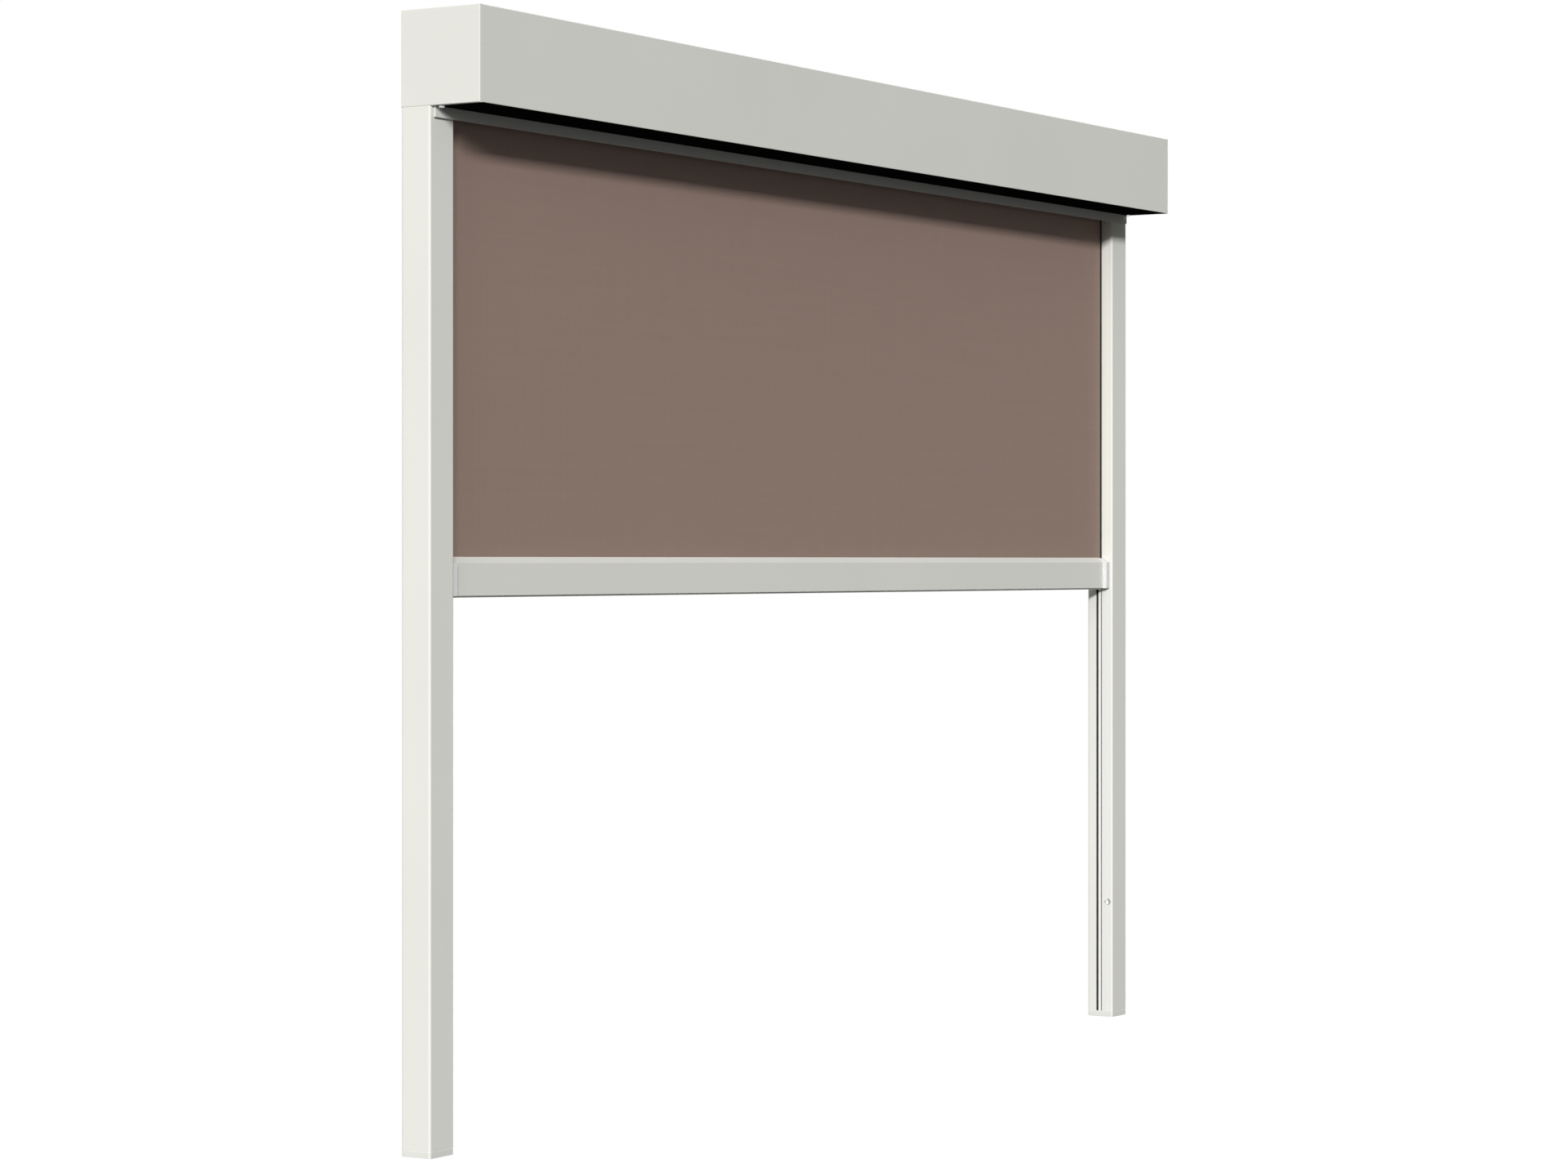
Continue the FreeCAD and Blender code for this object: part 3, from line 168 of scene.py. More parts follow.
MIX_FACTOR, MIX_A, MIX_B, MIX_OUT = 0, 6, 7, 2
GREY = (0.5, 0.5, 0.5, 1.0)
WHITE = (1.0, 1.0, 1.0, 1.0)
# Nearly all values of a noise lie between these two
NOISE_LOW, NOISE_HIGH = 0.3, 0.7
# Sizes of noises, in features per metre
DRIFT_SCALE, DUST_SCALE, PATCH_SCALE, CLOUD_SCALE = 5.0, 17.0, 42.0, 60.0
SLUB_SCALE, LINE_SCALE = 260.0, 900.0
# Specks to a ripple of the grain, and how high they stand beside it
SPECKS_PER_RIPPLE, SPECK_HEIGHT = 2.7, 0.3
# Least rise of a face that dust lies on, and its noise from the gaps to the full patches
DUST_SLOPE, DUST_EDGES = 0.5, (0.35, 0.65)
# Share of the dust that lies in the gaps, and how rough it is
DUST_GAPS, DUST_ROUGHNESS = 0.35, 0.9
# Two noises added give the slubs of a yarn
SLUB_EDGES = (0.7, 1.3)
GAP_ROUGHNESS, CROWN_ROUGHNESS = 0.92, 0.7
LINE_TONES = (0.96, 1.03)


def place(tree, kind, inputs=None, **settings):
    """A node with its settings and its inputs, each a constant or a socket that feeds it."""
    node = tree.nodes.new(kind)
    for name, value in settings.items():
        setattr(node, name, value)
    for name, term in (inputs or {}).items():
        if isinstance(term, bpy.types.NodeSocket):
            tree.links.new(term, node.inputs[name])
        else:
            node.inputs[name].default_value = term
    return node


def maths(tree, operation, first, second=0.0):
    """A Math node's result. Each term is a socket or a number."""
    return place(tree, "ShaderNodeMath", {0: first, 1: second}, operation=operation).outputs[0]


def noise(tree, vector, scale, detail=2.0, stretch=None):
    """A noise value over the surface. Scale is a number or a socket."""
    if stretch:
        vector = place(tree, "ShaderNodeVectorMath", {0: vector, 1: stretch},
                       operation="MULTIPLY").outputs[0]
    return place(tree, "ShaderNodeTexNoise",
                 {"Vector": vector, "Scale": scale, "Detail": detail}).outputs["Fac"]


def spread(tree, value, low, high, to_low, to_high):
    """A value mapped from one range to another. Each end is a number or a socket."""
    inputs = dict(enumerate((value, low, high, to_low, to_high)))
    return place(tree, "ShaderNodeMapRange", inputs).outputs[0]


def from_noise(tree, value, low, high):
    """A noise value mapped to a range."""
    return spread(tree, value, NOISE_LOW, NOISE_HIGH, low, high)


def either_side(tree, middle, reach):
    """The low and the high end of a range round its middle."""
    return [maths(tree, operation, middle, reach) for operation in ("SUBTRACT", "ADD")]


def object_point(tree):
    """The place of a point in its object's own coordinates."""
    return tree.nodes.new("ShaderNodeTexCoord").outputs["Object"]


def axes(tree, vector):
    """The X, Y and Z of a vector, as sockets."""
    return place(tree, "ShaderNodeSeparateXYZ", {0: vector}).outputs


def upward(tree):
    """How far a face looks up: one on top, minus one underneath."""
    return axes(tree, tree.nodes.new("ShaderNodeNewGeometry").outputs["Normal"])["Z"]


def shaded(tree, tint, factor):
    """A colour made lighter or darker by a factor socket."""
    return place(tree, "ShaderNodeVectorMath", {0: tint, "Scale": factor},
                 operation="SCALE").outputs[0]


def blended(tree, factor, first, second):
    """A mix of two colours, each a socket or a linear colour."""
    inputs = {MIX_FACTOR: factor, MIX_A: first, MIX_B: second}
    return place(tree, "ShaderNodeMix", inputs, data_type="RGBA").outputs[MIX_OUT]


def new_group(name, inputs, outputs):
    """An empty node group with named sockets. Returns its tree and what it is given."""
    tree = bpy.data.node_groups.new(name, "ShaderNodeTree")
    kinds = {"colour": "NodeSocketColor", "value": "NodeSocketFloat"}
    for label, kind, default in inputs:
        socket = tree.interface.new_socket(name=label, in_out="INPUT", socket_type=kinds[kind])
        socket.default_value = default
    for label, kind in outputs:
        tree.interface.new_socket(name=label, in_out="OUTPUT", socket_type=kinds[kind])
    return tree, tree.nodes.new("NodeGroupInput").outputs


def hand_out(tree, **results):
    """Ends a node group with what it gives."""
    place(tree, "NodeGroupOutput", results)
    return tree


def group_named(name, build):
    """A shared node group, built once."""
    return bpy.data.node_groups.get(name) or build(name)


def build_grain(name):
    """Ripples and specks of a coat or a moulded skin, with broad drifts of tone and gloss."""
    tree, given = new_group(name, [
        ("Colour", "colour", GREY), ("Size", "value", 0.001), ("Mottle", "value", 0.02),
        ("Specks", "value", 0.02), ("Roughness", "value", 0.5), ("Gloss drift", "value", 0.06),
    ], [("Colour", "colour"), ("Roughness", "value"), ("Height", "value")])
    point = object_point(tree)
    fine = maths(tree, "DIVIDE", 1.0, given["Size"])
    ripple = noise(tree, point, fine, detail=1.5)
    speck = noise(tree, point, maths(tree, "MULTIPLY", fine, SPECKS_PER_RIPPLE))
    drift = noise(tree, point, DRIFT_SCALE, detail=3.0)
    patch = noise(tree, point, PATCH_SCALE, detail=3.0)
    mottle = from_noise(tree, drift, *either_side(tree, 1.0, given["Mottle"]))
    specks = from_noise(tree, speck, *either_side(tree, 1.0, given["Specks"]))
    tone = maths(tree, "MULTIPLY", mottle, specks)
    gloss = either_side(tree, given["Roughness"], given["Gloss drift"])
    height = maths(tree, "ADD", ripple, maths(tree, "MULTIPLY", speck, SPECK_HEIGHT))
    return hand_out(tree, Colour=shaded(tree, given["Colour"], tone),
                    Roughness=from_noise(tree, patch, *gloss), Height=height)


def build_dust(name):
    """Fine dust on faces that look up, thicker in patches."""
    tree, given = new_group(name, [
        ("Colour", "colour", GREY), ("Dust", "colour", GREY), ("Amount", "value", 0.3),
        ("Roughness", "value", 0.5),
    ], [("Colour", "colour"), ("Roughness", "value")])
    facing = spread(tree, upward(tree), DUST_SLOPE, 1.0, 0.0, 1.0)
    cloud = noise(tree, object_point(tree), DUST_SCALE, detail=6.0)
    patches = spread(tree, cloud, *DUST_EDGES, DUST_GAPS, 1.0)
    mask = maths(tree, "MULTIPLY", maths(tree, "MULTIPLY", facing, patches), given["Amount"])
    rough = spread(tree, mask, 0.0, 1.0, given["Roughness"], DUST_ROUGHNESS)
    return hand_out(tree, Colour=blended(tree, mask, given["Colour"], given["Dust"]),
                    Roughness=rough)


def build_weave(name):
    """A basket weave in the plane of the cloth: yarns that pass over and under each other."""
    tree, given = new_group(name, [
        ("Colour", "colour", GREY), ("Pitch", "value", 0.001), ("Relief", "value", 0.1),
        ("Slub", "value", 0.03),
    ], [("Colour", "colour"), ("Roughness", "value"), ("Height", "value")])
    point = object_point(tree)
    parts = axes(tree, point)
    runs = [maths(tree, "DIVIDE", parts[axis], given["Pitch"]) for axis in "XZ"]
    waves = [maths(tree, "SINE", maths(tree, "MULTIPLY", run, math.pi)) for run in runs]
    crowns = [maths(tree, "ABSOLUTE", wave) for wave in waves]
    cell = maths(tree, "ADD", *(maths(tree, "FLOOR", run) for run in runs))
    over = maths(tree, "FLOORED_MODULO", cell, 2.0)
    under = maths(tree, "SUBTRACT", 1.0, over)
    height = maths(tree, "ADD", *(maths(tree, "MULTIPLY", crown, shown)
                                  for crown, shown in zip(crowns, (over, under))))
    low = maths(tree, "SUBTRACT", 1.0, given["Relief"])
    relief = spread(tree, height, 0.0, 1.0, low, 1.0)
    slubs = maths(tree, "ADD", *(noise(tree, point, SLUB_SCALE, stretch=stretch)
                                 for stretch in ((1.0, 1.0, 0.02), (0.02, 1.0, 1.0))))
    slub = spread(tree, slubs, *SLUB_EDGES, *either_side(tree, 1.0, given["Slub"]))
    tone = maths(tree, "MULTIPLY", relief, slub)
    rough = spread(tree, height, 0.0, 1.0, GAP_ROUGHNESS, CROWN_ROUGHNESS)
    return hand_out(tree, Colour=shaded(tree, given["Colour"], tone), Roughness=rough,
                    Height=height)


def build_drawn(name):
    """Fine lines along X from drawing or rolling, on bare or plated metal."""
    tree, given = new_group(name, [
        ("Colour", "colour", GREY), ("Roughness", "value", 0.35), ("Streaks", "value", 0.08),
        ("Tarnish", "value", 0.05),
    ], [("Colour", "colour"), ("Roughness", "value"), ("Height", "value")])
    point = object_point(tree)
    lines = noise(tree, point, LINE_SCALE, detail=3.0, stretch=(0.01, 1.0, 1.0))
    cloud = noise(tree, point, CLOUD_SCALE, detail=4.0)
    low = maths(tree, "SUBTRACT", 1.0, given["Tarnish"])
    tone = maths(tree, "MULTIPLY", from_noise(tree, cloud, low, 1.0),
                 from_noise(tree, lines, *LINE_TONES))
    rough = from_noise(tree, lines, *either_side(tree, given["Roughness"], given["Streaks"]))
    return hand_out(tree, Colour=shaded(tree, given["Colour"], tone), Roughness=rough,
                    Height=lines)


# Materials

# Tones of single faces: painted light on the guides' inner faces, painted shade in the liners'
# grooves and under the front cover, painted highlights on the plugs and feet, and the edge of the
# cloth's welded strip. A pair says where a change of tone begins and ends, in metres, or, for the
# slope of the painted shade under the front cover, in how far the face looks up.
PAINTED_INNER_LIGHT_TONE, PAINTED_INNER_LIGHT_DEPTH = 1.035, (0.0004, 0.0016)
GROOVE_SHADE_TONE, GROOVE_SHADE_DEPTH = 0.06, (0.0003, 0.0014)
UNDERSIDE_SHADE_SLOPE, UNDERSIDE_SHADE_LEVEL = (-0.85, -0.55), (-0.0012, -0.0008)
PLUG_HIGHLIGHT_OFFSET, PLUG_HIGHLIGHT_HALF_WIDTH = 0.0016, (0.0011, 0.0019)
FOOT_HIGHLIGHT_SHARE, FOOT_HIGHLIGHT_BAND = 0.7, (-0.0013, -0.0009)
WELD_BLUR = 0.0003

SHADER = "Principled BSDF"


def new_material(name):
    """A material with its tree and its Principled shader."""
    material = bpy.data.materials.new(name)
    material.use_nodes = True
    return material, material.node_tree, material.node_tree.nodes[SHADER]


def use_group(tree, name, build, tint, **values):
    """A shared group placed in a material. An underscore in a name stands for a space."""
    inputs = {label.replace("_", " "): value for label, value in values.items()}
    return place(tree, "ShaderNodeGroup", {"Colour": (*tint, 1.0), **inputs},
                 node_tree=group_named(name, build))


def add_bump(tree, shader, height, distance, strength):
    """Relief of a skin, whose full height stands for a distance."""
    bump = place(tree, "ShaderNodeBump",
                 {"Distance": distance, "Strength": strength, "Height": height})
    tree.links.new(bump.outputs["Normal"], shader.inputs["Normal"])


def lay_on(tree, shader, skin, depth, relief):
    """Gives the shader a skin's colour, roughness and relief."""
    tree.links.new(skin.outputs["Colour"], shader.inputs["Base Color"])
    tree.links.new(skin.outputs["Roughness"], shader.inputs["Roughness"])
    add_bump(tree, shader, skin.outputs["Height"], distance=depth, strength=relief)


def add_dust(tree, shader, skin, amount):
    """Lays dust over a skin's colour and roughness on the way to the shader."""
    tint = (*bpy.context.scene.blind_colours.dust, 1.0)
    dust = place(tree, "ShaderNodeGroup", {
        "Dust": tint, "Amount": amount, "Colour": skin.outputs["Colour"],
        "Roughness": skin.outputs["Roughness"],
    }, node_tree=group_named("settled_dust", build_dust))
    tree.links.new(dust.outputs["Colour"], shader.inputs["Base Color"])
    tree.links.new(dust.outputs["Roughness"], shader.inputs["Roughness"])


def grained(name, tint, size, roughness, mottle=0.012, specks=0.015, drift=0.05,
            specular=0.35, relief=0.25, dust=0.12, metallic=0.0):
    """A coated, moulded or cast material."""
    material, tree, shader = new_material(name)
    skin = use_group(tree, "fine_grain", build_grain, tint, Size=size, Mottle=mottle,
                     Specks=specks, Roughness=roughness, Gloss_drift=drift)
    shader.inputs["Metallic"].default_value = metallic
    shader.inputs["Specular IOR Level"].default_value = specular
    add_bump(tree, shader, skin.outputs["Height"], distance=size * 0.03, strength=relief)
    add_dust(tree, shader, skin, dust)
    return material


def powder_coat(name, painted_lightness):
    """The coat of the profiles. Its tone is scaled by a factor of painted light: a lighter copy
    stands in for a part that more light falls on.
    """
    tint = [channel * painted_lightness for channel in bpy.context.scene.blind_colours.coat]
    peel = bpy.context.scene.blind_sizes.peel
    return grained(name, tint, size=peel, roughness=0.62, specular=0.0)


def recoloured(material, change):
    """A material whose colour takes a last change, which may read the place on the object."""
    tree = material.node_tree
    shader = tree.nodes[SHADER]
    plain = shader.inputs["Base Color"].links[0].from_socket
    changed = change(tree, axes(tree, object_point(tree)), plain)
    tree.links.new(changed, shader.inputs["Base Color"])
    return material


def cover_coat():
    """The coat of the front cover, with painted shade: black on the underside round the cloth's
    slot, where shade falls.
    """
    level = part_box("left_end_cover")[0].z
    underside_shade = (*bpy.context.scene.blind_colours.underside_shade, 1.0)

    def painted_underside_shade(tree, point, plain):
        # Faces that look down at the level of the box's underside get the painted shade.
        down = spread(tree, upward(tree), *UNDERSIDE_SHADE_SLOPE, 1.0, 0.0)
        flush = spread(tree, point["Z"], *(level + drop for drop in UNDERSIDE_SHADE_LEVEL), 0.0, 1.0)
        return blended(tree, maths(tree, "MULTIPLY", down, flush), plain, underside_shade)

    return recoloured(powder_coat("cover_coat", painted_lightness=1.0), painted_underside_shade)


def behind_face(tree, point):
    """How far a point of either guide lies behind the inner face that looks at the cloth."""
    return maths(tree, "SUBTRACT", maths(tree, "ABSOLUTE", point["X"]), GUIDE[0].x)


def guide_coat():
    """The coat of the guides, a lighter copy as painted light, lightest of all on the inner faces
    that look at the cloth, where more light falls.
    """
    def painted_inner_light(tree, point, plain):
        # Painted light on the inner faces that look at the cloth.
        depth = behind_face(tree, point)
        return shaded(tree, plain, spread(tree, depth, *PAINTED_INNER_LIGHT_DEPTH, PAINTED_INNER_LIGHT_TONE, 1.0))

    return recoloured(powder_coat("guide_coat", painted_lightness=1.045), painted_inner_light)


def cast_coat():
    """The same coat over a casting, a little coarser than over a drawn profile."""
    colours = bpy.context.scene.blind_colours
    return grained("coated_casting", colours.coat, size=0.0021, roughness=0.6, mottle=0.014,
                   relief=0.3, specular=0.15)


def moulded(name, tint, roughness, specular):
    """Plastic with the fine spark-eroded grain of its mould."""
    return grained(name, tint, size=0.0007, roughness=roughness, specks=0.02, relief=0.35,
                   specular=specular)


def plug_with_painted_light():
    """Grey plastic darkened as painted shade of the plug's dish, with a band of painted highlight
    across it, set off the dish's middle.
    """
    colours = bpy.context.scene.blind_colours
    low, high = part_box("right_fixing_plug")

    def painted_plug_light(tree, point, plain):
        # A band of painted highlight across the dish, set off its middle.
        offset = maths(tree, "SUBTRACT", point["Y"], (low.y + high.y) / 2 + PLUG_HIGHLIGHT_OFFSET)
        away = maths(tree, "ABSOLUTE", offset)
        rim = spread(tree, away, *PLUG_HIGHLIGHT_HALF_WIDTH, 0.0, 1.0)
        return blended(tree, rim, (*colours.painted_highlight, 1.0), plain)

    return recoloured(moulded("plug", colours.plugs, roughness=0.5, specular=0.3), painted_plug_light)


def foot_plastic():
    """The foot's plastic, with a painted highlight as a light line along its upper edge under the
    guide.
    """
    colours = bpy.context.scene.blind_colours

    def painted_foot_highlight(tree, point, plain):
        # Painted highlight along the foot's upper edge.
        ends = (GUIDE[0].z + drop for drop in FOOT_HIGHLIGHT_BAND)
        line = spread(tree, point["Z"], *ends, 0.0, FOOT_HIGHLIGHT_SHARE)
        return blended(tree, line, plain, (*colours.painted_highlight, 1.0))

    return recoloured(moulded("foot", colours.feet, roughness=0.6, specular=0.12), painted_foot_highlight)


def white_liner():
    """White plastic, with painted shade inside its narrow grooves."""
    colours = bpy.context.scene.blind_colours

    def painted_groove_shade(tree, point, plain):
        # Painted shade: darker the deeper a point lies behind the guide's inner face.
        depth = behind_face(tree, point)
        return shaded(tree, plain, spread(tree, depth, *GROOVE_SHADE_DEPTH, 1.0, GROOVE_SHADE_TONE))

    unshaded_liner = grained("white_liner", colours.liner, size=0.0012, roughness=0.5, specular=0.2,
                    relief=0.12)
    return recoloured(unshaded_liner, painted_groove_shade)


def motor_enamel():
    """The smooth baked coat of the motor's tube."""
    colours = bpy.context.scene.blind_colours
    return grained("motor_enamel", colours.enamel, size=0.0018, roughness=0.32, specular=0.5)


def black_plastic():
    """Black plastic with glass fibre that shows as pale specks."""
    colours = bpy.context.scene.blind_colours
    return grained("black_plastic", colours.black, size=0.0005, roughness=0.5, specks=0.15,
                   mottle=0.06, specular=0.5, relief=0.5, dust=0.06)


def rubber(name, tint):
    """Dull rubber with a mottled skin."""
    return grained(name, tint, size=0.0008, roughness=0.78, specks=0.12, mottle=0.08,
                   specular=0.3, relief=0.4, dust=0.08)


def sand_cast():
    """Bare die casting, dull and slightly grey, with a fine pebbled skin."""
    colours = bpy.context.scene.blind_colours
    return grained("bare_casting", colours.cast, size=0.0011, roughness=0.5, mottle=0.05,
                   specks=0.06, drift=0.1, specular=0.5, relief=0.5, dust=0.1, metallic=0.85)


def drawn_metal(name, tint, roughness, streaks, tarnish):
    """Bare or plated metal with the fine lines of its drawing."""
    material, tree, shader = new_material(name)
    skin = use_group(tree, "drawn_lines", build_drawn, tint, Roughness=roughness,
                     Streaks=streaks, Tarnish=tarnish)
    shader.inputs["Metallic"].default_value = 1.0
    lay_on(tree, shader, skin, depth=0.00004, relief=0.2)
    return material


def mill_tube():
    """The bare aluminium of the roller's tube."""
    return drawn_metal("mill_tube", bpy.context.scene.blind_colours.tube, roughness=0.34,
                       streaks=0.1, tarnish=0.06)


def bright_zinc():
    """Plated steel."""
    return drawn_metal("bright_zinc", bpy.context.scene.blind_colours.zinc, roughness=0.3,
                       streaks=0.07, tarnish=0.12)


def screen_weave():
    """The coated glass yarn of the cloth, dull, with dark welded strips next to the guides."""
    colours = bpy.context.scene.blind_colours
    sizes = bpy.context.scene.blind_sizes
    material, tree, shader = new_material("screen_weave")
    skin = use_group(tree, "basket_weave", build_weave, colours.cloth, Pitch=sizes.yarn,
                     Relief=0.14, Slub=0.02)
    shader.inputs["Specular IOR Level"].default_value = 0.2
    lay_on(tree, shader, skin, depth=sizes.yarn * 0.12, relief=0.3)

    def welded(tree, point, plain):
        edge = GUIDE[0].x - sizes.weld
        outward = maths(tree, "ABSOLUTE", point["X"])
        strip = spread(tree, outward, edge, edge + WELD_BLUR, 0.0, 1.0)
        return blended(tree, strip, plain, (*colours.weld, 1.0))

    return recoloured(material, welded)


def zip_tape():
    """Black woven tape whose height rises with each tooth of the coil."""
    colours = bpy.context.scene.blind_colours
    sizes = bpy.context.scene.blind_sizes
    material, tree, shader = new_material("zip_tape")
    skin = use_group(tree, "basket_weave", build_weave, colours.tape,
                     Pitch=sizes.coil_pitch, Relief=0.4, Slub=0.1)
    shader.inputs["Specular IOR Level"].default_value = 0.35
    lay_on(tree, shader, skin, depth=sizes.coil_pitch * 0.2, relief=0.6)
    return material


def dress(material, *names):
    """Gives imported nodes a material."""
    for name in names:
        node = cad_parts[name]
        if not node.material_slots:
            node.data.materials.append(material)
        for slot in node.material_slots:
            slot.material = material


# Mesh helpers

# Vertices that are nearer than this are one
MERGE_DISTANCE = 1e-6


def finish_piece(name, bm, material, smooth_below=math.radians(35)):
    """Turns a bmesh into an object, shaded smooth where faces meet at a shallow angle."""
    for face in bm.faces:
        face.smooth = True
    for edge in bm.edges:
        edge.smooth = len(edge.link_faces) == 2 and edge.calc_face_angle(0) < smooth_below
    mesh = bpy.data.meshes.new(name)
    bm.to_mesh(mesh)
    bm.free()
    mesh.materials.append(material)
    piece = bpy.data.objects.new(name, mesh)
    bpy.context.scene.collection.objects.link(piece)
    return piece


def edge_line(bm, first, second):
    """Two vertices joined by an edge."""
    ends = [bm.verts.new(first), bm.verts.new(second)]
    return bm.edges.new(ends)


def only(kind, items):
    """The vertices or the edges among what a bmesh operator made."""
    return [item for item in items if isinstance(item, kind)]


def wind(bm, edges, angle, growth):
    """Draws a sheet out by one step about the roller's axis. Returns its new edges."""
    made = bmesh.ops.extrude_edge_only(bm, edges=edges)["geom"]
    verts = only(bmesh.types.BMVert, made)
    bmesh.ops.rotate(bm, verts=verts, cent=AXIS, matrix=Matrix.Rotation(angle, 3, "X"))
    bmesh.ops.scale(bm, vec=(1, growth, growth), space=Matrix.Translation(-AXIS), verts=verts)
    return only(bmesh.types.BMEdge, made)


def thicken(sheet, thickness):
    """Gives a sheet its thickness, half of it on each side."""
    wall = sheet.modifiers.new("thickness", "SOLIDIFY")
    wall.thickness = thickness
    wall.offset = 0


def solids_of(name):
    """The low corner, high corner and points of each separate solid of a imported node."""
    bm = bmesh.new()
    bm.from_mesh(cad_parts[name].data)
    bmesh.ops.remove_doubles(bm, verts=bm.verts, dist=MERGE_DISTANCE)
    left = set(bm.verts)
    boxes = []
    while left:
        found = [left.pop()]
        for vert in found:
            for edge in vert.link_edges:
                other = edge.other_vert(vert)
                if other in left:
                    left.remove(other)
                    found.append(other)
        boxes.append((Vector(min(v.co[i] for v in found) for i in range(3)),
                      Vector(max(v.co[i] for v in found) for i in range(3)),
                      [v.co.copy() for v in found]))
    bm.free()
    return boxes


def turned(bm, profile, steps):
    """A shape turned about Z from (radius, height) pairs, open at both ends."""
    verts = [bm.verts.new((radius, 0, height)) for radius, height in profile]
    edges = [bm.edges.new(pair) for pair in zip(verts, verts[1:])]
    bmesh.ops.spin(bm, geom=verts + edges, cent=(0, 0, 0), axis=UP, angle=math.tau,
                   steps=steps, use_merge=True)


# Fasteners

ANGLE_SLACK = 1e-6


def cross_radius(angle, reach, half_width):
    """Distance from the middle to the rim of a cross-shaped recess at an angle."""
    quarter = angle % (math.pi / 2)
    nearest = min(quarter, math.pi / 2 - quarter)
    if nearest < math.atan2(half_width, reach) + ANGLE_SLACK:
        return reach / math.cos(nearest)
    return half_width / math.sin(nearest)


def pan_head_screw(bm, radius, height, shank_radius, shank_length, sizes):
    """A screw along Z with its bearing face at zero, its head below and its shank above."""
    dome = [(0.62, 1.0), (0.82, 0.9), (0.95, 0.66), (1.0, 0.3), (1.0, 0.0)]
    shank = [(1.0, 0.0), (1.0, 0.85), (0.55, 1.0)]
    turned(bm, [(radius * across, -height * along) for across, along in dome]
           + [(shank_radius * across, shank_length * along) for across, along in shank],
           sizes.round_steps)
    rims = [edge for edge in bm.edges if edge.is_boundary]
    ends = bmesh.ops.holes_fill(bm, edges=rims, sides=0)["faces"]
    crown = min(ends, key=lambda face: face.calc_center_median().z)
    depth = sizes.recess_depth * height
    # The recess narrows as it sinks from the crown to its floor
    for sink, scale in ((0.0, 1.0), (depth * 0.5, 0.92), (depth, 0.55)):
        bmesh.ops.inset_region(bm, faces=[crown], thickness=radius * 0.02)
        for vert in crown.verts:
            angle = math.atan2(vert.co.y, vert.co.x)
            reach = cross_radius(angle, sizes.recess_reach * radius,
                                 sizes.recess_width * radius) * scale
            vert.co = (reach * math.cos(angle), reach * math.sin(angle), -height + sink)


def head_and_shank(low, high, points):
    """Radius and height of an upright screw's head, and of its shank above it."""
    middle = (low + high) / 2

    def reach(point):
        return math.hypot(point.x - middle.x, point.y - middle.y)

    radius = (high.x - low.x) / 2
    rim, core = 0.97 * radius, 0.2 * radius
    bearing = max(point.z for point in points if reach(point) > rim)
    shank = min(reach(point) for point in points if reach(point) > core)
    return radius, bearing, shank


# Operators

class BlindOperator(bpy.types.Operator):
    """What the blind's operators share."""
    bl_options = {"REGISTER", "UNDO"}


class BLIND_OT_profiles(BlindOperator):
    """Powder coat on the box's profiles, the side guides and the bottom bar"""
    bl_idname = "blind.profiles"
    bl_label = "Coated profiles"

    def execute(self, context):
        # The guides and the bar take lighter copies of the coat as painted light.
        dress(powder_coat("box_coat", painted_lightness=1.0), "box_rear_profile")
        dress(cover_coat(), "box_front_cover")
        dress(guide_coat(), "left_guide_rail", "right_guide_rail")
        dress(powder_coat("bar_coat", painted_lightness=1.035), "bottom_bar")
        return {"FINISHED"}


class BLIND_OT_castings(BlindOperator):
    """Coated end covers, and bare castings for the end plates and brackets"""
    bl_idname = "blind.castings"
    bl_label = "Castings"

    def execute(self, context):
        dress(cast_coat(), "left_end_cover", "right_end_cover")
        dress(sand_cast(), "left_end_plate", "right_end_plate", "motor_bracket", "idler_bracket")
        return {"FINISHED"}


class BLIND_OT_mouldings(BlindOperator):
    """Plastic caps, feet and plugs in the coat's colour, and white liners and inlets"""
    bl_idname = "blind.mouldings"
    bl_label = "Mouldings"

    def execute(self, context):
        colours = context.scene.blind_colours
        for material, *endings in (
                (white_liner(), "_zip_insert", "_zip_inlet"),
                (moulded("bar_cap", colours.caps, roughness=0.36, specular=0.5), "_bar_end_cap"),
                (foot_plastic(), "_guide_foot"), (plug_with_painted_light(), "_fixing_plug")):
            dress(material, *(name + ending for name, _ in SIDES for ending in endings))
        return {"FINISHED"}


class BLIND_OT_roller(BlindOperator):
    """Rolled tube, motor and the fittings at the roller's ends"""
    bl_idname = "blind.roller"
    bl_label = "Roller and motor"

    def execute(self, context):
        dress(mill_tube(), "roller_tube")
        dress(motor_enamel(), "tubular_motor")
        dress(black_plastic(), "motor_head", "motor_crown", "drive_wheel", "idler_cap",
              "idler_bearing", "fabric_keder")
        return {"FINISHED"}


class BLIND_OT_steel(BlindOperator):
    """Plated steel pins, screws and ballast, and the cross recesses of the cover's screws"""
    bl_idname = "blind.steel"
    bl_label = "Steel and screws"

    def execute(self, context):
        zinc = bright_zinc()
        dress(zinc, "idler_pin", "motor_shaft", "ballast_bar", "end_plate_screws",
              "bracket_screws")
        self.cover_screws(zinc, context.scene.blind_sizes)
        return {"FINISHED"}

    def cover_screws(self, zinc, sizes):
        """Both screws under the box, each at its packed place, in one piece."""
        bm = bmesh.new()
        for low, high, points in solids_of("cover_screws"):
            radius, bearing, shank = head_and_shank(low, high, points)
            before = set(bm.verts)
            pan_head_screw(bm, radius, bearing - low.z, shank, high.z - bearing, sizes)
            made = [vert for vert in bm.verts if vert not in before]
            middle = (low + high) / 2
            bmesh.ops.translate(bm, verts=made, vec=(middle.x, middle.y, bearing))
        bmesh.ops.recalc_face_normals(bm, faces=bm.faces)
        piece = finish_piece("cover_screw_set", bm, zinc)
        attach(piece, "housing")
        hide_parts("cover_screws")


class BLIND_OT_seals(BlindOperator):
    """Rubber under the bar and round the cable"""
    bl_idname = "blind.seals"
    bl_label = "Seals"

    def execute(self, context):
        colours = context.scene.blind_colours
        dress(rubber("grey_rubber", colours.seal), "bar_seal")
        dress(rubber("black_rubber", colours.rubber), "cable_grommet")
        return {"FINISHED"}


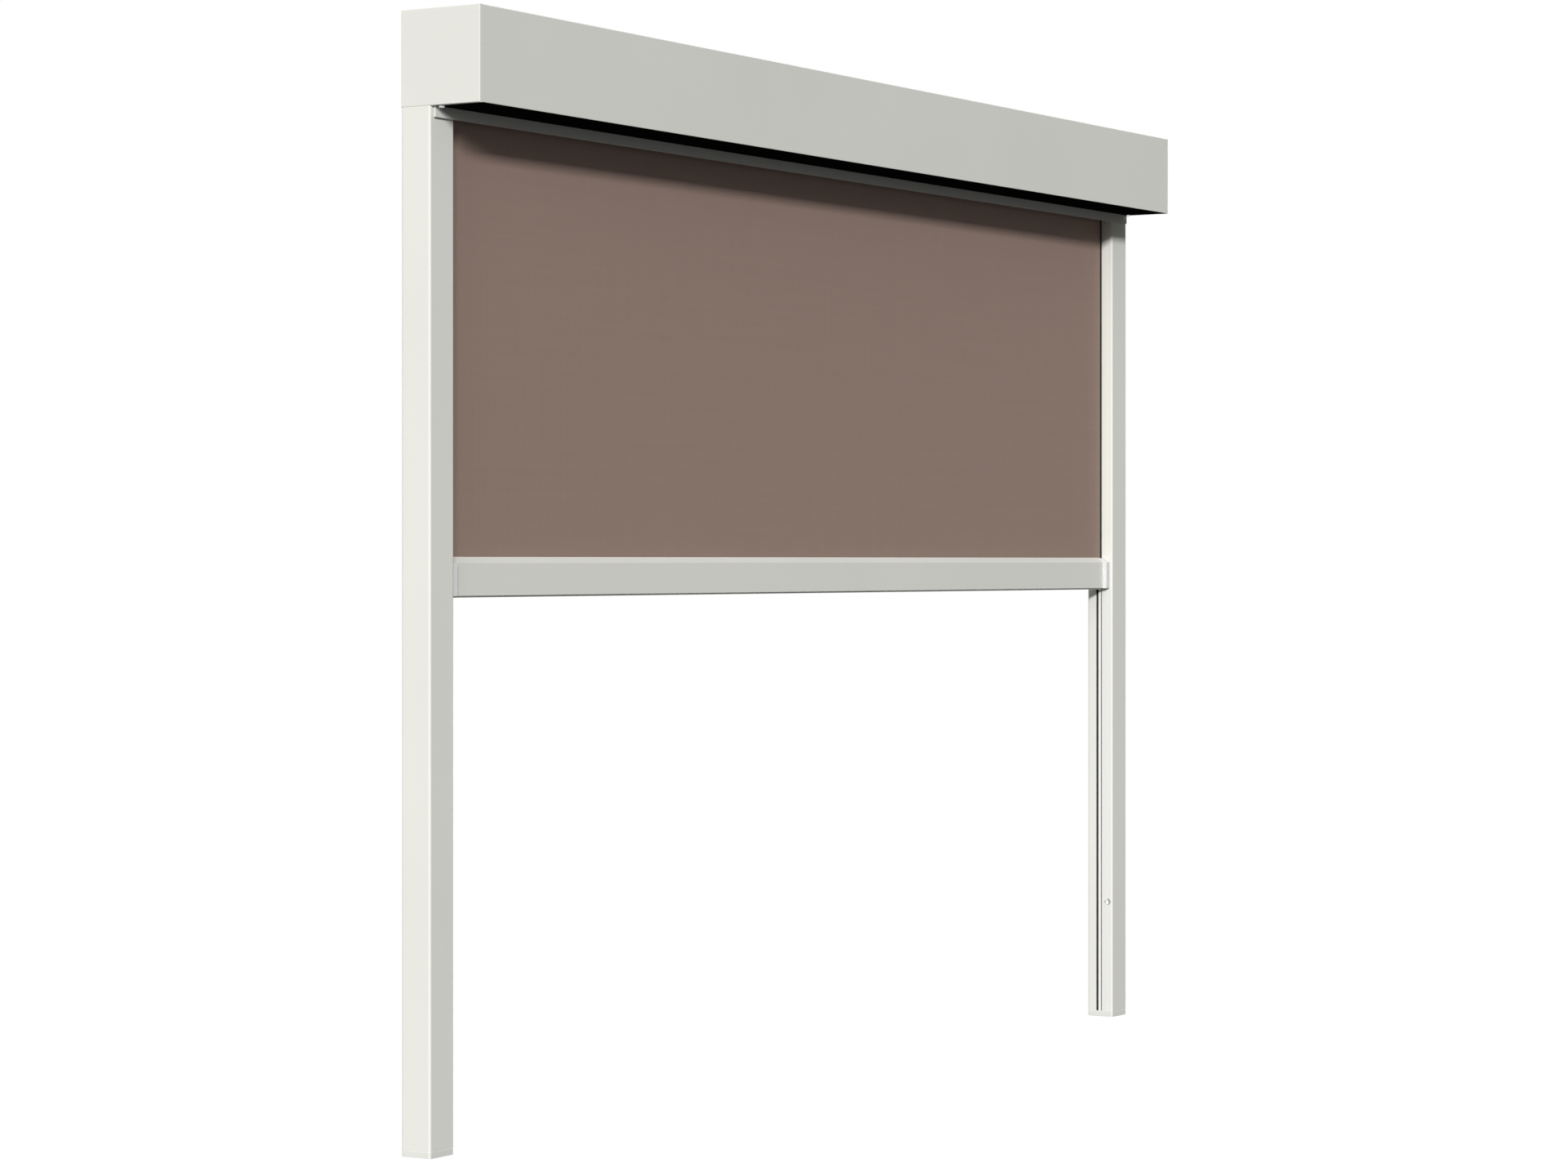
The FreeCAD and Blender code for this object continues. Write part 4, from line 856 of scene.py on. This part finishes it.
class BLIND_OT_cloth(BlindOperator):
    """The taut cloth from the roller down into the bottom bar"""
    bl_idname = "blind.cloth"
    bl_label = "Screen cloth"

    def execute(self, context):
        sizes = context.scene.blind_sizes
        bm = bmesh.new()
        top = edge_line(bm, (-CLOTH_HALF, CLOTH_Y, AXIS.z), (CLOTH_HALF, CLOTH_Y, AXIS.z))
        made = bmesh.ops.extrude_edge_only(bm, edges=[top])["geom"]
        bmesh.ops.translate(bm, verts=only(bmesh.types.BMVert, made),
                            vec=(0, 0, CLOTH_FOOT - AXIS.z))
        radius = CLOTH_Y - AXIS.y
        last = ROLL_RADIUS + CLOTH_THICKNESS / 2 + sizes.wrap_lift
        steps = sizes.turn_steps // 3
        shrink = (last / radius) ** (1 / steps)
        rim = [top]
        for _ in range(steps):
            rim = wind(bm, rim, sizes.wrap / steps, shrink)
        bmesh.ops.recalc_face_normals(bm, faces=bm.faces)
        cloth = finish_piece("screen_cloth", bm, screen_weave())
        thicken(cloth, CLOTH_THICKNESS)
        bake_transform(cloth)
        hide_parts("fabric_sheet")
        return {"FINISHED"}


class BLIND_OT_wound_cloth(BlindOperator):
    """The cloth that is wound on the tube, as one spiral"""
    bl_idname = "blind.wound_cloth"
    bl_label = "Wound cloth"

    # The cloth fills this share of the step from turn to turn, so that no turns meet
    FILLED = 0.94

    def execute(self, context):
        sizes = context.scene.blind_sizes
        bm = bmesh.new()
        first = TUBE_RADIUS + CLOTH_THICKNESS / 2
        last = ROLL_RADIUS - CLOTH_THICKNESS / 2
        turns = (last - first) / CLOTH_THICKNESS
        steps = int(turns * sizes.turn_steps)
        start = AXIS + UP * first
        rim = [edge_line(bm, start - ACROSS * CLOTH_HALF, start + ACROSS * CLOTH_HALF)]
        for step in range(steps):
            radius = first + (last - first) * step / steps
            growth = (radius + (last - first) / steps) / radius
            rim = wind(bm, rim, math.tau * turns / steps, growth)
        bmesh.ops.recalc_face_normals(bm, faces=bm.faces)
        roll = finish_piece("wound_cloth", bm, screen_weave())
        thicken(roll, CLOTH_THICKNESS * self.FILLED)
        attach(roll, "roller")
        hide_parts("fabric_roll")
        return {"FINISHED"}


class BLIND_OT_zip_edges(BlindOperator):
    """The zip at each edge of the cloth: in the guide, past the inlet and on the roller"""
    bl_idname = "blind.zip_edges"
    bl_label = "Zip edges"

    # Steps in a turn of the coil
    TURN_STEPS = 10

    def execute(self, context):
        sizes = context.scene.blind_sizes
        tape = zip_tape()
        for name, side in SIDES:
            self.strip(name, side, tape)
            self.teeth(name, side, tape, sizes)
        self.wound(tape, sizes)
        return {"FINISHED"}

    def strip(self, name, side, tape):
        """Tape and the two rows of the coil, as one section drawn down the guide."""
        low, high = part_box(name + "_zip_strip")
        inner, outer = (low.x, high.x) if side > 0 else (high.x, low.x)
        bead = (high.y - low.y) / 2 * 0.98
        flat = CLOTH_THICKNESS / 2
        neck = inner + (outer - inner) * 0.45
        shoulder = neck + side * 0.0004
        crown = inner + (outer - inner) * 0.75
        # The rear half of the section: the flat tape, then the bulge of the coil
        rear = [(inner, flat), (neck, flat), (shoulder, bead * 0.8), (crown, bead),
                (outer, bead * 0.7)]
        corners = [(x, -y) for x, y in rear] + rear[::-1]
        bm = bmesh.new()
        verts = [bm.verts.new((x, CLOTH_Y + y, AXIS.z)) for x, y in corners]
        top = bm.faces.new(verts)
        made = bmesh.ops.extrude_face_region(bm, geom=[top], use_keep_orig=True)["geom"]
        bmesh.ops.translate(bm, verts=only(bmesh.types.BMVert, made),
                            vec=(0, 0, low.z - AXIS.z))
        bmesh.ops.recalc_face_normals(bm, faces=bm.faces)
        strip = finish_piece(name + "_zip_edge", bm, tape)
        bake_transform(strip)
        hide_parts(name + "_zip_strip")

    def teeth(self, name, side, tape, sizes):
        """The coil above the inlet, where it can be seen from under the box."""
        low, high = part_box(name + "_zip_strip")
        outer = high.x if side > 0 else low.x
        coil = (high.y - low.y) / 2 - sizes.coil_wire
        centre = Vector((outer - side * (coil + sizes.coil_wire), CLOTH_Y, INLET[1].z))
        turns = (AXIS.z - INLET[1].z) / sizes.coil_pitch
        bm = bmesh.new()
        ring = bmesh.ops.create_circle(bm, segments=6, radius=sizes.coil_wire)["verts"]
        upright = Matrix.Rotation(math.pi / 2, 4, "X")
        start = Matrix.Translation(centre + ACROSS * coil) @ upright
        bmesh.ops.transform(bm, matrix=start, verts=ring)
        steps = int(turns * self.TURN_STEPS)
        bmesh.ops.spin(bm, geom=ring + list(bm.edges), cent=centre, axis=(0, 0, 1),
                       dvec=(0, 0, sizes.coil_pitch / self.TURN_STEPS),
                       angle=math.tau * steps / self.TURN_STEPS, steps=steps)
        bmesh.ops.holes_fill(bm, edges=[edge for edge in bm.edges if edge.is_boundary], sides=0)
        bmesh.ops.recalc_face_normals(bm, faces=bm.faces)
        coil_piece = finish_piece(name + "_zip_coil", bm, tape, smooth_below=math.radians(70))
        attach(coil_piece, "housing")

    def wound(self, tape, sizes):
        """The wound zip edges: rings whose rims show the teeth of the outer turn."""
        bm = bmesh.new()
        width = ZIP_ROLL[1].x - CLOTH_HALF
        count = int(math.tau * ZIP_RADIUS / sizes.coil_pitch)
        tape_rim, coil_foot, coil_rim = (ZIP_RADIUS - depth for depth in (0.0008, 0.0006, 0.0001))
        corners = [(0.0, TUBE_RADIUS), (0.0, tape_rim), (0.45, coil_foot), (0.55, coil_rim),
                   (0.9, coil_rim), (1.0, coil_foot), (1.0, TUBE_RADIUS)]
        for _, side in SIDES:
            inner = AXIS + ACROSS * side * CLOTH_HALF
            verts = [bm.verts.new(inner + ACROSS * side * outward * width + UP * radius)
                     for outward, radius in corners]
            edges = [bm.edges.new(pair) for pair in zip(verts, verts[1:])]
            bmesh.ops.spin(bm, geom=verts + edges, cent=AXIS, axis=ACROSS, angle=math.tau,
                           steps=count * 2, use_merge=True)
        for vert in bm.verts:
            arm = Vector((0, vert.co.y - AXIS.y, vert.co.z - AXIS.z))
            turn = math.atan2(arm.y, arm.z) / math.tau * count
            between_teeth = abs(turn - round(turn)) > 0.25
            if arm.length > coil_rim - 0.0002 and between_teeth:
                vert.co -= arm.normalized() * sizes.coil_wire
        bmesh.ops.remove_doubles(bm, verts=bm.verts, dist=MERGE_DISTANCE)
        bmesh.ops.recalc_face_normals(bm, faces=bm.faces)
        rings = finish_piece("wound_zip_edges", bm, tape)
        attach(rings, "roller")
        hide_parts("zip_roll")


# Studio

FLOOR_HALF_WIDTH = 60
# What the camera sees of the floor: its own glow and the grey that takes a shadow
FLOOR_GLOW, FLOOR_GREY = 0.87, 0.24
# What matt surfaces get back from the floor
FLOOR_BOUNCE = 0.10


def seen_directly(tree):
    """One for what the camera, a reflection or glass sees, and nought for matt light."""
    path = tree.nodes.new("ShaderNodeLightPath").outputs
    shown = maths(tree, "MAXIMUM", path["Is Camera Ray"], path["Is Glossy Ray"])
    return maths(tree, "MAXIMUM", shown, path["Is Transmission Ray"])


def sun(name, strength, angle, toward):
    """A sun of some apparent width that stands in a direction."""
    lamp = bpy.data.lights.new(name, "SUN")
    lamp.energy = strength
    lamp.angle = angle
    holder = bpy.data.objects.new(name, lamp)
    holder.rotation_mode = "QUATERNION"
    holder.rotation_quaternion = Vector(toward).to_track_quat("Z", "Y")
    bpy.context.scene.collection.objects.link(holder)


class BLIND_OT_studio(BlindOperator):
    """White sky and floor, three suns, a long lamp and the camera at the photograph's place"""
    bl_idname = "blind.studio"
    bl_label = "Studio"

    def execute(self, context):
        studio = context.scene.blind_studio
        self.sky(context.scene, studio)
        self.floor(studio)
        sun("soft_sun", studio.soft, math.radians(22), toward=(-0.96, -0.15, 0.26))
        sun("fill_sun", studio.fill, math.radians(20), toward=(0.25, 0.85, 0.35))
        sun("rim_sun", studio.rim, math.radians(4), toward=(0.99, 0.06, 0.10))
        self.long_lamp(studio)
        self.camera(context.scene, studio)
        context.scene.view_settings.view_transform = "Standard"
        return {"FINISHED"}

    def long_lamp(self, studio):
        """A strip light parallel to the box, whose shadows are soft only along the blind."""
        lamp = bpy.data.lights.new("key_lamp", "AREA")
        lamp.shape = "RECTANGLE"
        lamp.size = studio.key_length
        lamp.size_y = studio.key_width
        lamp.energy = studio.key
        holder = bpy.data.objects.new("key_lamp", lamp)
        holder.location = studio.key_place
        holder.rotation_euler.x = math.atan2(-holder.location.y, holder.location.z)
        bpy.context.scene.collection.objects.link(holder)

    def sky(self, scene, studio):
        """A sky that is white to look at and lights matt faces only dimly."""
        world = bpy.data.worlds.new("white_sky")
        world.use_nodes = True
        tree = world.node_tree
        tree.nodes.clear()
        dim = place(tree, "ShaderNodeBackground", {"Color": WHITE, "Strength": studio.ambient})
        white = place(tree, "ShaderNodeBackground", {"Color": WHITE, "Strength": 1.0})
        mix = place(tree, "ShaderNodeMixShader",
                    {0: seen_directly(tree), 1: dim.outputs[0], 2: white.outputs[0]})
        place(tree, "ShaderNodeOutputWorld", {"Surface": mix.outputs[0]})
        scene.world = world

    def floor(self, studio):
        """A pale floor that shows a faint shadow and sends little light up."""
        bm = bmesh.new()
        bmesh.ops.create_grid(bm, x_segments=1, y_segments=1, size=FLOOR_HALF_WIDTH)
        level = GUIDE[0].z - studio.floor_drop
        bmesh.ops.translate(bm, verts=bm.verts, vec=(0, 0, level))
        material, tree, shader = new_material("pale_floor")
        tree.nodes.remove(shader)
        glow = place(tree, "ShaderNodeEmission", {"Color": WHITE, "Strength": FLOOR_GLOW})
        paint, dark = (place(tree, "ShaderNodeBsdfDiffuse", {"Color": (grey, grey, grey, 1)})
                       for grey in (FLOOR_GREY, FLOOR_BOUNCE))
        pale = place(tree, "ShaderNodeAddShader", {0: glow.outputs[0], 1: paint.outputs[0]})
        mix = place(tree, "ShaderNodeMixShader",
                    {0: seen_directly(tree), 1: dark.outputs[0], 2: pale.outputs[0]})
        tree.links.new(mix.outputs[0], tree.nodes["Material Output"].inputs["Surface"])
        finish_piece("pale_floor", bm, material)

    def camera(self, scene, studio):
        """The camera at the place that was fitted to the photograph."""
        lens = bpy.data.cameras.new("photo_camera")
        lens.sensor_width = 36
        lens.lens = studio.lens
        lens.shift_y = studio.rise
        lens.clip_end = 200
        holder = bpy.data.objects.new("photo_camera", lens)
        holder.location = studio.eye
        holder.rotation_euler = (math.pi / 2, 0, studio.turn)
        scene.collection.objects.link(holder)
        scene.camera = holder


OPERATORS = (
    BLIND_OT_profiles, BLIND_OT_castings, BLIND_OT_mouldings, BLIND_OT_roller, BLIND_OT_steel,
    BLIND_OT_seals, BLIND_OT_cloth, BLIND_OT_wound_cloth, BLIND_OT_zip_edges, BLIND_OT_studio,
)


class BLIND_PT_panel(bpy.types.Panel):
    """Sizes, colours and steps of the blind"""
    bl_idname = "BLIND_PT_panel"
    bl_label = "Exterior roller blind"
    bl_space_type = "VIEW_3D"
    bl_region_type = "UI"
    bl_category = "Blind"

    def draw(self, context):
        for settings in (context.scene.blind_colours, context.scene.blind_sizes,
                         context.scene.blind_studio):
            box = self.layout.box()
            for name in settings.bl_rna.properties.keys():
                if name not in ("name", "rna_type"):
                    box.prop(settings, name)
        for operator in OPERATORS:
            self.layout.operator(operator.bl_idname)


CLASSES = (BlindColours, BlindSizes, BlindStudio, *OPERATORS, BLIND_PT_panel)


def register():
    for item in CLASSES:
        bpy.utils.register_class(item)
    bpy.types.Scene.blind_colours = PointerProperty(type=BlindColours)
    bpy.types.Scene.blind_sizes = PointerProperty(type=BlindSizes)
    bpy.types.Scene.blind_studio = PointerProperty(type=BlindStudio)


def unregister():
    del bpy.types.Scene.blind_studio
    del bpy.types.Scene.blind_sizes
    del bpy.types.Scene.blind_colours
    for item in reversed(CLASSES):
        bpy.utils.unregister_class(item)


def main():
    register()
    for operator in OPERATORS:
        family, name = operator.bl_idname.split(".")
        if getattr(getattr(bpy.ops, family), name)() != {"FINISHED"}:
            raise RuntimeError("%s did not finish" % operator.bl_label)


if __name__ == "__main__":
    main()
